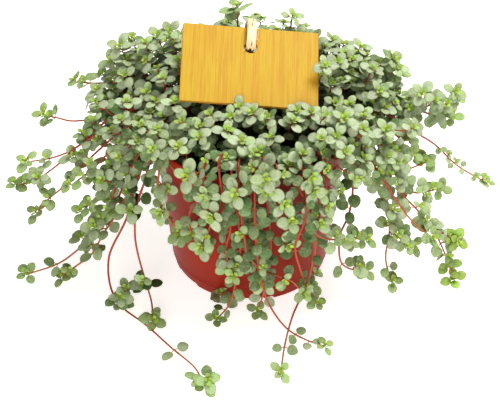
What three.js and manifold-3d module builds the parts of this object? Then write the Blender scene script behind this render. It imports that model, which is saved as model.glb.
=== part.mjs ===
// A potted trailing pilea: a moulded grower's pot, its soil, a wooden card tied to a bamboo stake, and the
// plant's own shoots. Millimetres, +Z up, origin at the centre of the pot's underside, -Y is the front.
import * as THREE from "three";
import { mergeVertices } from "three/addons/utils/BufferGeometryUtils.js";
import Module from "manifold-3d";

const wasm = await Module();
wasm.setup();

// ---- Driving dimensions ----
const GAP = 0.3; // clearance kept between touching pieces

const POT = {
  height: 110, rimRadius: 65, rimRound: 0.9, lipFoot: 86, lipFootRadius: 63.6, shoulderRadius: 60.5,
  ridgeHeight: 7.6, ridgeRadius: 53.8, footRadius: 52.6, footRound: 1.5, wall: 1.6, floorTop: 4.1,
  rimFlat: 0.4, lipStep: 0.6, insideStep: 2.6, insideFoot: 3, ridgeSlope: 0.8, footFlare: 0.3,
  padRadius: 18, padSlope: 1.5, recess: 2.5, ringRadius: 46, segments: 36,
};
const NOTCH = { count: 6, firstAngle: -84, width: 21, height: 2.4, depth: 12 }; // angles here are in degrees
const DRAIN = { count: 6, firstAngle: -54, circle: 38, radius: 4.5 };
const SOIL = { top: 97, edgeDrop: 1.5 };

// The card leans back, swings about the upright and is turned in its own plane.
const CARD = {
  width: 86, height: 54, thickness: 2.4, corner: 1.2, centre: [0, 0, 149.8], leanBack: 59.1, swing: 12.7,
  turn: -12.4, holeUp: 13.2, holeRadius: 4,
};
// loop is the inside of the raffia loop, seen from the card's side: how far it is out from the middle of the
// card's thickness, how far up from the card's middle, and which way the strand lies outside it.
const TIE = {
  width: 5.4, strand: 1.9, collarFoot: 154, collarTop: 159.5, collarRadius: 4.7, collarSlope: 1,
  loop: [
    { at: [1.5, 13.2], outside: [1, -1] }, { at: [3.8, 17], outside: [1, 0] },
    { at: [3.8, 25.3], outside: [1, 0] }, { at: [1.5, 32.5], outside: [0.7, 1] },
    { at: [-3.5, 34.7], outside: [-0.7, 1] }, { at: [-7.9, 31.5], outside: [-1, 0] },
    { at: [-3.1, 17], outside: [-1, 0] }, { at: [-1.5, 13.2], outside: [-0.5, -1] },
  ],
};
const STAKE = {
  radius: 2, y: 27.8, foot: 22, top: 163, point: 12, knots: [58, 104, 143], knotHalf: 1.4, groove: 0.15,
};

const STEM = { radius: 0.95, twigRadius: 0.75, sides: 3, stepLength: 27, shortestSteps: 4, twigSteps: 2 };
const ROOT_RADII = [30, 38, 46]; // where on the soil the shoots come up, taken in turn
const CREST_RADIUS = 66.5; // where a shoot crosses over the rim
const LEAF = { thickness: 1.2, lyingBelow: 13 };
// A whorl's outline repeats once for every leaf, and its last low value is the notch between two leaves.
const PAIR = { leaves: 2, reach: 8.8, outline: [1, 1, 0.36] };
const ROSETTE = { leaves: 4, reach: 10.5, outline: [0.86, 1, 0.86, 0.36] };

const SIZES_TRIED = [1, 0.8, 0.62]; // a whorl that has no room is made smaller

// The crown is a low dome with full shoulders. Its reach, its rise and the angle from the top at which its
// leaves end differ in front, at the sides and behind.
const CROWN = {
  centreHeight: 90, fullness: 2.6, rosettes: 58, topPolar: 9,
  reach: { front: 87, side: 102, rear: 104 }, rise: { front: 44, side: 56, rear: 61 },
  skirt: { front: 59, side: 96, rear: 104 },
  innerBranches: { count: 4, root: 16, knee: [24, 112], hub: [38, 126], firstShare: 0.5 },
  outerBranches: { count: 7, root: 24, knee: [46, 119], hub: [72, 117], firstShare: 0.25 },
  cardMargin: 9, cardSink: 8, shade: 0.95, stepAside: 0.8, stepsAside: 40, twigSag: 2,
};
const REAR = {
  count: 6, firstAngle: 42, step: 19.5, swing: 5, sway: 3,
  reach: [92, 104, 108, 106, 110], drop: [104, 84, 62, 40, 22],
};
const GOLDEN_ANGLE = 137.508;

const COLOURS = {
  pot: 0xc8452c, soil: 0x2b211b, leaf: 0x93aa88, card: 0xe3b464, tie: 0xe9d3a0, stake: 0xc9a662,
};

// The shoots that can be told apart one by one. crest is the angle and height at which a shoot crosses the
// rim; route is where it goes from there to its tip; fork is a side shoot that leaves it at route[from].
const SHOOTS = {
  left_shoot_1: { crest: [162, 122], route: [[-90, 25, 122], [-102, 29, 119], [-115, 35, 116]] },
  left_shoot_2: {
    crest: [172, 119],
    route: [[-97, 8, 106], [-110, 12, 101], [-119, 16, 98], [-128, 21, 97], [-137, 25, 96]],
  },
  left_shoot_3: {
    crest: [178, 123], route: [[-96, -2, 107], [-111, -7, 94], [-127, -5, 84], [-147, 0, 76]],
  },
  left_shoot_4: {
    crest: [183, 119],
    route: [[-96, -9, 106], [-114, -11, 94], [-122, -11, 85], [-134, -7, 72], [-145, -2, 61], [-157, 0, 57]],
  },
  left_shoot_5: {
    crest: [187.5, 122],
    route: [[-92, -14, 101], [-109, -16, 84], [-123, -16, 67], [-134, -17, 57], [-141, -19, 48]],
  },
  left_shoot_6: { crest: [191, 119], route: [[-84, -18, 104], [-101, -24, 88], [-114, -30, 80]] },
  left_shoot_7: {
    crest: [195, 121], route: [[-83, -24, 96], [-96, -29, 74], [-109, -33, 60]],
    fork: { from: 0, route: [[-87, -34, 76], [-95, -41, 60]] },
  },
  left_shoot_8: {
    crest: [200, 119],
    route: [
      [-76, -29, 94], [-85, -27, 68], [-98, -27, 42], [-114, -28, 25], [-129, -31, 14], [-150, -35, 8],
    ],
  },
  left_shoot_9: {
    crest: [204, 120],
    route: [
      [-74, -34, 92], [-80, -34, 72], [-96, -38, 45], [-105, -38, 28], [-115, -37, 18], [-122, -36, 11],
      [-126, -37, 7],
    ],
  },
  left_shoot_10: {
    crest: [208.5, 119],
    route: [
      [-70, -38, 92], [-79, -41, 62], [-93, -42, 28], [-92, -50, 8], [-84, -62, 3.4], [-68, -78, 3.4],
      [-50, -99, 3.4], [-34, -117, 3.4], [-28, -132, 4],
    ],
  },
  left_shoot_11: {
    crest: [213, 120],
    route: [[-66, -43, 92], [-72, -43, 72], [-74, -46, 48], [-69, -51, 17], [-65, -59, 6], [-63, -76, 4]],
  },
  left_shoot_12: {
    crest: [219, 119], route: [[-57, -47, 94], [-57, -49, 84], [-55, -52, 75]],
    fork: { from: 1, route: [[-50, -53, 70], [-44, -54, 60]] },
  },

  right_shoot_1: {
    crest: [10, 119], route: [[88, 17, 116], [100, 20, 110], [113, 19, 107], [126, 27, 106], [137, 36, 103]],
    fork: { from: 1, route: [[114, 29, 97], [128, 33, 90], [138, 42, 84]] },
  },
  right_shoot_2: { crest: [20, 122], route: [[80, 28, 130], [91, 31, 137]] },
  right_shoot_3: { crest: [15.5, 124], route: [[84, 24, 124], [97, 29, 126]] },
  right_shoot_4: {
    crest: [5, 122], route: [[90, 5, 110], [103, 8, 98], [124, 17, 78], [141, 16, 61], [162, 14, 48]],
  },
  right_shoot_5: { crest: [355, 121], route: [[85, -9, 104], [101, -9, 78], [110, 2, 71], [118, 11, 68]] },
  right_shoot_6: { crest: [359.5, 119], route: [[84, 0, 108], [96, -1, 97], [106, 0, 82]] },
  right_shoot_7: {
    crest: [341.5, 119],
    route: [[76, -23, 96], [83, -22, 76], [90, -24, 56], [92, -29, 40], [90, -37, 24], [94, -45, 10]],
    fork: { from: 3, route: [[99, -30, 36], [107, -33, 32]] },
  },
  right_shoot_8: { crest: [351, 119], route: [[84, -14, 96], [98, -14, 72], [108, -12, 60], [128, 2, 52]] },
  right_shoot_9: {
    crest: [336, 122], route: [[80, -33, 94], [92, -34, 74], [104, -35, 56], [119, -34, 40]],
  },
  right_shoot_10: {
    crest: [346.5, 120],
    route: [[83, -19, 94], [97, -23, 70], [111, -22, 52], [121, -22, 38], [129, -26, 24], [137, -38, 6]],
    fork: { from: 3, route: [[129, -27, 37], [137, -31, 34]] },
  },
  right_shoot_11: {
    crest: [309, 119], route: [[44, -66, 92], [40, -71, 76], [49, -62, 62], [63, -51, 53], [74, -44, 47]],
  },
  right_shoot_12: {
    crest: [327, 119],
    route: [[64, -42, 92], [63, -44, 68], [58, -45, 50], [59, -52, 34], [66, -50, 26], [75, -47, 22]],
  },

  front_shoot_1: {
    crest: [246, 119], route: [[-27, -64, 99], [-24, -64, 80], [-29, -61, 56]],
    fork: { from: 0, route: [[-36, -61, 86], [-38, -60, 72], [-36, -58, 62]] },
  },
  front_shoot_2: {
    crest: [254, 124], route: [[-16, -69, 99], [-12, -68, 76], [-15, -67, 56], [-10, -76, 44]],
  },
  front_shoot_3: {
    crest: [260.5, 119],
    route: [[-8, -72, 96], [-6, -69, 56], [-9, -67, 30], [-14, -69, 11], [-22, -75, 4.5]],
  },
  front_shoot_4: { crest: [269, 119], route: [[0, -71, 106], [2, -68, 84], [4, -66, 56], [6, -65, 30]] },
  front_shoot_5: { crest: [277, 124], route: [[11, -71, 92], [13, -67, 56], [10, -64, 24], [5, -70, 7]] },
  front_shoot_6: { crest: [284, 119], route: [[18, -70, 97], [23, -67, 82], [22, -65, 62]] },
  front_shoot_7: {
    crest: [292, 119], route: [[30, -66, 104], [38, -60, 82], [42, -52, 52], [41, -53, 32], [38, -56, 19]],
  },
  front_shoot_8: {
    crest: [297, 121], route: [[34, -73, 92], [28, -73, 66], [32, -66, 40], [38, -57, 16], [44, -61, 6]],
  },
  front_shoot_9: {
    crest: [264, 122],
    route: [[-5, -78, 92], [0, -75, 58], [8, -72, 45], [18, -72, 40], [27, -72, 35], [34, -72, 25]],
  },
  front_shoot_10: {
    crest: [272.5, 123],
    route: [[3, -81, 92], [6, -79, 50], [13, -77, 18], [24, -83, 4], [37, -93, 3.4], [47, -99, 4.5]],
  },
  front_shoot_11: {
    crest: [303, 119],
    route: [[37, -67, 92], [40, -65, 56], [36, -63, 22], [28, -78, 13], [23, -93, 5], [19, -121, 4.5]],
  },
  top_shoot_1: { root: [-8, 36], route: [[-10, 38, 125], [-8, 40, 150], [-8, 45, 164]] },
  top_shoot_2: { root: [24, 34], route: [[27, 38, 125], [26, 40, 148], [27, 43, 160]] },
};

// ---- Small helpers ----
const vector = (point) => new THREE.Vector3(...point);
const turnedAbout = (axis, degrees) => {
  return new THREE.Quaternion().setFromAxisAngle(vector(axis), THREE.MathUtils.degToRad(degrees));
};
const onCircle = (angle, radius, height) => {
  const turn = THREE.MathUtils.degToRad(angle);
  return [radius * Math.cos(turn), radius * Math.sin(turn), height];
};

function toSolid(geometry) {
  const bare = geometry.clone();
  bare.deleteAttribute("normal");
  bare.deleteAttribute("uv");
  const merged = mergeVertices(bare, 1e-4);
  const mesh = new wasm.Mesh({
    numProp: 3,
    vertProperties: Float32Array.from(merged.attributes.position.array),
    triVerts: Uint32Array.from(merged.index.array),
  });
  return new wasm.Manifold(mesh);
}

function toGeometry(solid) {
  const mesh = solid.getMesh();
  const geometry = new THREE.BufferGeometry();
  geometry.setAttribute("position", new THREE.BufferAttribute(mesh.vertProperties, 3));
  geometry.setIndex(new THREE.BufferAttribute(mesh.triVerts, 1));
  geometry.computeVertexNormals();
  return geometry;
}

function lathe(profile, segments) {
  const points = profile.map(([radius, height]) => new THREE.Vector2(radius, height));
  return new THREE.LatheGeometry(points, segments).rotateX(Math.PI / 2);
}

// ---- Pot and soil ----
// The wall's inner face runs parallel to the outer one, and steps out behind the lip.
const innerFoot = POT.ridgeRadius - POT.wall;
const innerShoulder = POT.shoulderRadius - POT.wall;
const innerLip = POT.lipFootRadius - POT.wall;
const innerRim = POT.rimRadius - POT.wall;
const innerFloor = innerFoot - 2;

function potSolid() {
  const outline = [
    [0, 0], [POT.padRadius, 0], [POT.padRadius + POT.padSlope, POT.recess],
    [POT.ringRadius - POT.padSlope, POT.recess], [POT.ringRadius, 0],
    [POT.footRadius - POT.footRound, 0], [POT.footRadius, POT.footRound],
    [POT.footRadius + POT.footFlare, POT.ridgeHeight - POT.ridgeSlope], [POT.ridgeRadius, POT.ridgeHeight],
    [POT.shoulderRadius, POT.lipFoot], [POT.lipFootRadius, POT.lipFoot + POT.lipStep],
    [POT.rimRadius, POT.height - POT.rimRound], [POT.rimRadius - POT.rimFlat, POT.height],
    [innerRim + POT.rimFlat, POT.height], [innerRim, POT.height - POT.rimRound],
    [innerLip, POT.lipFoot + POT.insideStep], [innerShoulder, POT.lipFoot],
    [innerFoot, POT.floorTop + POT.insideFoot], [innerFloor, POT.floorTop], [0, POT.floorTop],
  ];
  let solid = toSolid(lathe(outline, POT.segments));
  const notch = new THREE.BoxGeometry(NOTCH.depth, NOTCH.width, NOTCH.height * 2);
  for (let i = 0; i < NOTCH.count; i += 1) {
    const angle = NOTCH.firstAngle + (i * 360) / NOTCH.count;
    const cut = notch.clone().rotateZ(THREE.MathUtils.degToRad(angle));
    solid = solid.subtract(toSolid(cut.translate(...onCircle(angle, POT.footRadius, 0))));
  }
  const depth = POT.floorTop * 3;
  const hole = new THREE.CylinderGeometry(DRAIN.radius, DRAIN.radius, depth, 10).rotateX(Math.PI / 2);
  for (let i = 0; i < DRAIN.count; i += 1) {
    const angle = DRAIN.firstAngle + (i * 360) / DRAIN.count;
    solid = solid.subtract(toSolid(hole.clone().translate(...onCircle(angle, DRAIN.circle, 0))));
  }
  return solid;
}

function soilSolid() {
  const outline = [
    [0, POT.floorTop + GAP], [innerFloor - GAP, POT.floorTop + GAP],
    [innerFoot - GAP, POT.floorTop + POT.insideFoot + GAP], [innerShoulder - GAP, POT.lipFoot],
    [innerLip - GAP, POT.lipFoot + POT.insideStep + GAP], [innerLip - GAP, SOIL.top - SOIL.edgeDrop],
    [STAKE.y, SOIL.top], [0, SOIL.top],
  ];
  const socket = new THREE.CylinderGeometry(STAKE.radius + GAP, STAKE.radius + GAP, SOIL.top, 12);
  socket.rotateX(Math.PI / 2).translate(0, STAKE.y, STAKE.foot - GAP + SOIL.top / 2);
  return toSolid(lathe(outline, POT.segments)).subtract(toSolid(socket));
}

// ---- Card, tie and stake ----
// The card's own frame: x along its width, y up its face, z out of its face.
const cardFrame = new THREE.Matrix4().compose(
  vector(CARD.centre),
  turnedAbout([0, 0, 1], CARD.swing)
    .multiply(turnedAbout([1, 0, 0], 90 - CARD.leanBack))
    .multiply(turnedAbout([0, 0, 1], CARD.turn)),
  vector([1, 1, 1]),
);

function roundedCard(halfWidth, halfHeight, corner) {
  const shape = new THREE.Shape();
  shape.moveTo(-halfWidth + corner, -halfHeight);
  shape.absarc(halfWidth - corner, -halfHeight + corner, corner, -Math.PI / 2, 0);
  shape.absarc(halfWidth - corner, halfHeight - corner, corner, 0, Math.PI / 2);
  shape.absarc(-halfWidth + corner, halfHeight - corner, corner, Math.PI / 2, Math.PI);
  shape.absarc(-halfWidth + corner, -halfHeight + corner, corner, Math.PI, Math.PI * 1.5);
  return shape;
}

function cardSolid() {
  const shape = roundedCard(CARD.width / 2, CARD.height / 2, CARD.corner);
  shape.holes.push(new THREE.Path().absarc(0, CARD.holeUp, CARD.holeRadius, 0, Math.PI * 2));
  const options = { depth: CARD.thickness, bevelEnabled: false, curveSegments: 3 };
  const plate = new THREE.ExtrudeGeometry(shape, options);
  return toSolid(plate.translate(0, 0, -CARD.thickness / 2).applyMatrix4(cardFrame));
}

// The tie is a flat loop seen from the card's side, out of the hole, over the top edge and back behind the
// card, where it parts round the stake and is wound about it as a collar.
function tieSolid() {
  const inner = TIE.loop.map(({ at }) => new THREE.Vector2(...at));
  const outer = TIE.loop.map(({ at, outside }) => {
    return new THREE.Vector2(at[0] + outside[0] * TIE.strand, at[1] + outside[1] * TIE.strand);
  });
  const ring = new THREE.Shape(outer);
  ring.holes.push(new THREE.Path(inner));
  const band = new THREE.ExtrudeGeometry(ring, { depth: TIE.width, bevelEnabled: false });
  band.translate(0, 0, -TIE.width / 2).rotateY(-Math.PI / 2);
  const inside = STAKE.radius + GAP;
  const collar = lathe([
    [inside, TIE.collarFoot], [TIE.collarRadius, TIE.collarFoot + TIE.collarSlope],
    [TIE.collarRadius, TIE.collarTop - TIE.collarSlope], [inside, TIE.collarTop], [inside, TIE.collarFoot],
  ], 10);
  const bore = new THREE.CylinderGeometry(inside, inside, TIE.collarFoot, 10).rotateX(Math.PI / 2);
  const loop = toSolid(band.applyMatrix4(cardFrame));
  const drilled = loop.subtract(toSolid(bore.translate(0, STAKE.y, TIE.collarFoot)));
  return drilled.add(toSolid(collar.translate(0, STAKE.y, 0)));
}

function stakeSolid() {
  const slim = STAKE.radius - STAKE.groove;
  const outline = [[0, STAKE.foot], [slim, STAKE.foot + STAKE.point]];
  for (const knot of STAKE.knots) {
    outline.push([slim, knot - STAKE.knotHalf], [STAKE.radius, knot], [slim, knot + STAKE.knotHalf]);
  }
  outline.push([slim, STAKE.top], [0, STAKE.top]);
  return toSolid(lathe(outline, 10).translate(0, STAKE.y, 0));
}

// ---- Stems and leaves ----
// A stem is a run of straight internodes; the stations are the nodes between them, where leaves can stand.
function stemCurve(points, fewestSteps = STEM.shortestSteps) {
  const curve = new THREE.CatmullRomCurve3(points.map(vector), false, "centripetal");
  const steps = Math.max(fewestSteps, Math.round(curve.getLength() / STEM.stepLength));
  return { curve, steps, stations: curve.getSpacedPoints(steps) };
}

function stemSolid({ curve, steps }, radius) {
  const corners = [];
  for (let i = 0; i < STEM.sides; i += 1) {
    const turn = (i * 2 * Math.PI) / STEM.sides;
    corners.push(new THREE.Vector2(radius * Math.cos(turn), radius * Math.sin(turn)));
  }
  const section = new THREE.Shape(corners);
  return toSolid(new THREE.ExtrudeGeometry(section, { steps, bevelEnabled: false, extrudePath: curve }));
}

// A whorl of leaves as one thin plate, whose outline runs out and in round every leaf.
function whorl(kind, size, centre, facing, spin, grow) {
  const outline = [];
  const corners = kind.leaves * kind.outline.length;
  for (let i = 0; i < corners; i += 1) {
    const turn = (i * 2 * Math.PI) / corners;
    const far = kind.reach * size * kind.outline[i % kind.outline.length] + grow;
    outline.push(new THREE.Vector2(far * Math.cos(turn), far * Math.sin(turn)));
  }
  const depth = LEAF.thickness + 2 * grow;
  const plate = new THREE.ExtrudeGeometry(new THREE.Shape(outline), { depth, steps: 1, bevelEnabled: false });
  const turn = new THREE.Quaternion().setFromUnitVectors(new THREE.Vector3(0, 0, 1), facing);
  return toSolid(plate.translate(0, 0, -depth / 2).rotateZ(spin).applyQuaternion(turn).translate(...centre));
}

// ---- What is already in place, so that later pieces keep clear of it ----
const placed = new Map();

function place(name, solid, colour) {
  placed.set(name, { solid, colour, box: boxOf(solid) });
}

function boxOf(solid) {
  const bounds = solid.boundingBox();
  return new THREE.Box3(vector(bounds.min), vector(bounds.max));
}

function isClear(halo, owner) {
  const box = boxOf(halo);
  for (const [name, other] of placed) {
    if (name === owner || !box.intersectsBox(other.box)) continue;
    if (!halo.intersect(other.solid).isEmpty()) return false;
  }
  return true;
}

function join(name, solid) {
  const owner = placed.get(name);
  owner.solid = owner.solid.add(solid);
  owner.box = boxOf(owner.solid);
}

// A whorl is turned, then made smaller, until it is clear of the neighbours, or else it is left out.
function addWhorl(name, kind, centre, facings, twig = null) {
  for (const size of SIZES_TRIED) {
    for (const [index, facing] of facings.entries()) {
      const spin = THREE.MathUtils.degToRad(GOLDEN_ANGLE * (centre[0] + centre[2]) + 57 * index);
      const halo = whorl(kind, size, centre, facing, spin, GAP);
      const haloWithTwig = twig ? halo.add(stemSolid(twig, STEM.twigRadius + GAP)) : halo;
      if (!isClear(haloWithTwig, name)) continue;
      join(name, whorl(kind, size, centre, facing, spin, 0));
      if (twig) join(name, stemSolid(twig, STEM.twigRadius));
      return;
    }
  }
}

// Leaves face outward and up, and lie flat on a shoot that lies on the ground.
function leafFacings(point) {
  if (point[2] < LEAF.lyingBelow) return [new THREE.Vector3(0, 0, 1)];
  const outward = new THREE.Vector3(point[0], point[1], 0).normalize();
  const up = new THREE.Vector3(0, 0, 1);
  const mix = (out, rise) => outward.clone().multiplyScalar(out).addScaledVector(up, rise).normalize();
  return [mix(0.5, 0.85), mix(1, 0.35), mix(1, -0.05)];
}

// ---- The crown's dome ----
// Gives a value at an angle round the dome from its values in front, at the sides and behind.
function roundTheDome({ front, side, rear }, azimuth) {
  const back = Math.sin(THREE.MathUtils.degToRad(azimuth));
  return side + (rear - side) * Math.max(0, back) ** 2 + (front - side) * Math.max(0, -back) ** 2;
}

function isInCrown([x, y, z]) {
  const azimuth = THREE.MathUtils.radToDeg(Math.atan2(y, x));
  const out = Math.hypot(x, y) / roundTheDome(CROWN.reach, azimuth);
  const up = (z - CROWN.centreHeight) / roundTheDome(CROWN.rise, azimuth);
  return up > 0 && out ** CROWN.fullness + up ** CROWN.fullness < CROWN.shade ** CROWN.fullness;
}

// ---- Shoots ----
function shootPath(shoot, order) {
  const rootHeight = SOIL.top + GAP + STEM.radius;
  if (shoot.root) return [[...shoot.root, rootHeight], ...shoot.route];
  const [angle, height] = shoot.crest;
  const root = onCircle(angle, ROOT_RADII[order % ROOT_RADII.length], rootHeight);
  const knee = onCircle(angle, 58, height - 1);
  return [root, knee, onCircle(angle, CREST_RADIUS, height), ...shoot.route];
}

// A shoot is bare where the crown shades it. Outside it has pairs of leaves at its nodes, and a rosette of
// four leaves at its tip.
function addLeaves(name, stations) {
  for (const [index, station] of stations.entries()) {
    const isTip = index === stations.length - 1;
    const point = station.toArray();
    if (index === 0 || (isInCrown(point) && !isTip)) continue;
    addWhorl(name, isTip ? ROSETTE : PAIR, point, leafFacings(point));
  }
}

function rearShoots() {
  const shoots = {};
  for (let i = 0; i < REAR.count; i += 1) {
    const angle = REAR.firstAngle + i * REAR.step;
    const length = 3 + (i % 3);
    const route = REAR.reach.slice(0, length).map((reach, k) => {
      const swung = angle + REAR.swing * Math.sin(i * 2.3 + k);
      return onCircle(swung, reach + REAR.sway * Math.cos(i * 1.7), REAR.drop[k]);
    });
    shoots[`rear_shoot_${i + 1}`] = { crest: [angle, 114 + 3 * (i % 3)], route };
  }
  return shoots;
}

// ---- Crown: branches that each carry the rosettes nearest to them on a low dome ----
function domePoint(azimuth, polar) {
  const lean = THREE.MathUtils.degToRad(polar);
  const bend = 2 / CROWN.fullness;
  const [x, y] = onCircle(azimuth, roundTheDome(CROWN.reach, azimuth) * Math.sin(lean) ** bend, 0);
  const up = Math.sign(Math.cos(lean)) * Math.abs(Math.cos(lean)) ** bend;
  return underCard(new THREE.Vector3(x, y, CROWN.centreHeight + roundTheDome(CROWN.rise, azimuth) * up));
}

// A point that would be in or above the card is moved square to the card until it is below it.
function underCard(point) {
  const local = point.clone().applyMatrix4(cardFrame.clone().invert());
  const isBeside =
    Math.abs(local.x) > CARD.width / 2 + CROWN.cardMargin ||
    Math.abs(local.y) > CARD.height / 2 + CROWN.cardMargin / 2;
  if (isBeside || local.z < -CROWN.cardSink) return point.toArray();
  return local.setZ(-CROWN.cardSink).applyMatrix4(cardFrame).toArray();
}

function domeFacing([x, y, z], azimuth) {
  const slope = (distance, size) => Math.max(0, distance / size) ** (CROWN.fullness - 1) / size;
  const out = slope(Math.hypot(x, y), roundTheDome(CROWN.reach, azimuth));
  const up = slope(z - CROWN.centreHeight, roundTheDome(CROWN.rise, azimuth));
  return vector(onCircle(azimuth, out, up)).normalize().add(vector([0, 0, 0.35])).normalize();
}

function crownHubs() {
  const hubs = [];
  for (const branches of [CROWN.innerBranches, CROWN.outerBranches]) {
    for (let i = 0; i < branches.count; i += 1) {
      const angle = ((i + branches.firstShare) / branches.count) * 360;
      hubs.push({ name: `crown_branch_${hubs.length + 1}`, angle, branches });
    }
  }
  return hubs;
}

function hubPath({ branches }, angle) {
  const root = onCircle(angle, branches.root, SOIL.top + GAP + STEM.radius);
  return [root, onCircle(angle, ...branches.knee), onCircle(angle, ...branches.hub)];
}

// A branch steps aside, by turns left and right, until its way up is free.
function placeHub(hub) {
  for (let step = 0; step < CROWN.stepsAside; step += 1) {
    const angle = hub.angle + (step % 2 ? 1 : -1) * Math.ceil(step / 2) * CROWN.stepAside;
    const path = hubPath(hub, angle);
    const main = stemCurve(path);
    if (!isClear(stemSolid(main, STEM.radius + GAP), hub.name)) continue;
    place(hub.name, stemSolid(main, STEM.radius), COLOURS.leaf);
    hub.tip = vector(path[2]);
    return;
  }
  throw new Error(`${hub.name} finds no free way up`);
}

function addRosettes(hubs) {
  const top = Math.cos(THREE.MathUtils.degToRad(CROWN.topPolar));
  const span = top - Math.cos(THREE.MathUtils.degToRad(CROWN.skirt.rear));
  for (let i = 0; i < CROWN.rosettes; i += 1) {
    const azimuth = i * GOLDEN_ANGLE;
    const polar = THREE.MathUtils.radToDeg(Math.acos(top - (span * (i + 0.5)) / CROWN.rosettes));
    if (polar > roundTheDome(CROWN.skirt, azimuth)) continue;
    const point = vector(domePoint(azimuth, polar));
    const hub = hubs.toSorted((a, b) => a.tip.distanceTo(point) - b.tip.distanceTo(point))[0];
    const facing = domeFacing(point.toArray(), azimuth);
    const middle = hub.tip.clone().lerp(point, 0.5).addScaledVector(facing, -CROWN.twigSag);
    const twig = stemCurve([hub.tip, middle, point].map((knot) => knot.toArray()), STEM.twigSteps);
    addWhorl(hub.name, ROSETTE, point.toArray(), [facing, ...leafFacings(point.toArray())], twig);
  }
}

// ---- Assembly ----
place("pot", potSolid(), COLOURS.pot);
place("soil", soilSolid(), COLOURS.soil);
place("label_card", cardSolid(), COLOURS.card);
place("label_tie", tieSolid(), COLOURS.tie);
place("label_stake", stakeSolid(), COLOURS.stake);

const shoots = { ...SHOOTS, ...rearShoots() };
const stemRuns = [];
for (const [order, [name, shoot]] of Object.entries(shoots).entries()) {
  const main = stemCurve(shootPath(shoot, order));
  let solid = stemSolid(main, STEM.radius);
  stemRuns.push([name, main.stations]);
  if (shoot.fork) {
    const branching = vector(shoot.route[shoot.fork.from]);
    const nearest = main.stations.toSorted((a, b) => a.distanceTo(branching) - b.distanceTo(branching))[0];
    const side = stemCurve([nearest.toArray(), ...shoot.fork.route]);
    solid = solid.add(stemSolid(side, STEM.radius));
    stemRuns.push([name, side.stations]);
  }
  place(name, solid, COLOURS.leaf);
}
const hubs = crownHubs();
hubs.forEach(placeHub);
for (const [name, stations] of stemRuns) addLeaves(name, stations);
addRosettes(hubs);

const FINISH = {
  [COLOURS.pot]: [0.42, 0], [COLOURS.soil]: [0.95, 0], [COLOURS.leaf]: [0.6, 0], [COLOURS.card]: [0.6, 0],
  [COLOURS.tie]: [0.75, 0], [COLOURS.stake]: [0.5, 0],
};
const plant = new THREE.Group();
for (const [name, { solid, colour }] of placed) {
  const [roughness, metalness] = FINISH[colour];
  const material = new THREE.MeshStandardMaterial({ color: colour, roughness, metalness });
  const mesh = new THREE.Mesh(toGeometry(solid), material);
  mesh.name = name;
  plant.add(mesh);
}

export default plant;
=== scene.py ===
"""The looks of a potted trailing pilea: pot, peat, wooden card on its cane, and the plant with its stems.

Lengths are in millimetres and angles in degrees, and a mesh is turned to metres when it is made. The origin
is the middle of the pot's underside, +Z is up and -Y is the front. Each sub-assembly is a class that builds
its own pieces, each finish is a frozen dataclass, and every piece stands for the CAD node that it replaces.
"""

import logging
import math
from collections.abc import Callable
from dataclasses import dataclass, field, replace
from enum import Enum
from functools import cached_property, partial

import bpy
import numpy as np
from mathutils import Matrix, Vector, noise


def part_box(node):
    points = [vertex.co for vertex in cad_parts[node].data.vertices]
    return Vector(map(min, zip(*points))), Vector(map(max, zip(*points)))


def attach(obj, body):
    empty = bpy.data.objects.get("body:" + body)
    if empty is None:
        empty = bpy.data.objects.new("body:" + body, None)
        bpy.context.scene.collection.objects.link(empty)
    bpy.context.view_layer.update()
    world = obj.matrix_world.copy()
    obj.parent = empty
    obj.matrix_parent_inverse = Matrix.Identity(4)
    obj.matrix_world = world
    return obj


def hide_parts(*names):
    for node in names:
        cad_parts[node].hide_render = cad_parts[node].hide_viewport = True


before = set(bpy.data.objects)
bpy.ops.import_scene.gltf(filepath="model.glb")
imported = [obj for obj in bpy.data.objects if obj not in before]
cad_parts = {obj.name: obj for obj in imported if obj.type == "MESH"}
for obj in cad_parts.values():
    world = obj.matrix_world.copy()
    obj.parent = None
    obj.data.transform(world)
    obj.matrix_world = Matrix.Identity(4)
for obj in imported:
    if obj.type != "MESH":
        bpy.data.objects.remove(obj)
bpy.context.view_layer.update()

LOG = logging.getLogger("pilea")
MM = 0.001
BODY = "root"
SEED = 20
UP = np.array([0.0, 0.0, 1.0])
FRONT = np.array([0.0, -1.0, 0.0])
GOLDEN_ANGLE = 137.508


class Slot(Enum):
    """The record's material slots, each named for one of the pieces' finishes."""

    POT = "pot_plastic"
    SOIL = "potting_soil"
    LEAF = "leaf"
    STEM = "stem"
    CARD = "card_wood"
    RAFFIA = "raffia"
    BAMBOO = "bamboo"


# ---- Small geometry helpers ----
def unit(vectors: np.ndarray) -> np.ndarray:
    """Scales vectors along the last axis to length 1."""
    return vectors / np.maximum(np.linalg.norm(vectors, axis=-1, keepdims=True), 1e-9)


def on_circle(angle: float, radius: float, height: float = 0.0) -> np.ndarray:
    """Gives the point at an angle in degrees on a circle round the pot's axis."""
    turn = math.radians(angle)
    return np.array([radius * math.cos(turn), radius * math.sin(turn), height])


def across(direction: np.ndarray) -> tuple[np.ndarray, np.ndarray]:
    """Finds two unit vectors square to a direction and to each other.

    Args:
        direction: a unit vector.

    Returns:
        A level vector, or +X where the direction is upright, and the one that completes the three.
    """
    level = np.cross(direction, UP)
    if np.linalg.norm(level) < 0.05:
        level = np.array([1.0, 0.0, 0.0])
    level = unit(level - direction * (level @ direction))
    return level, np.cross(level, direction)


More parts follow.
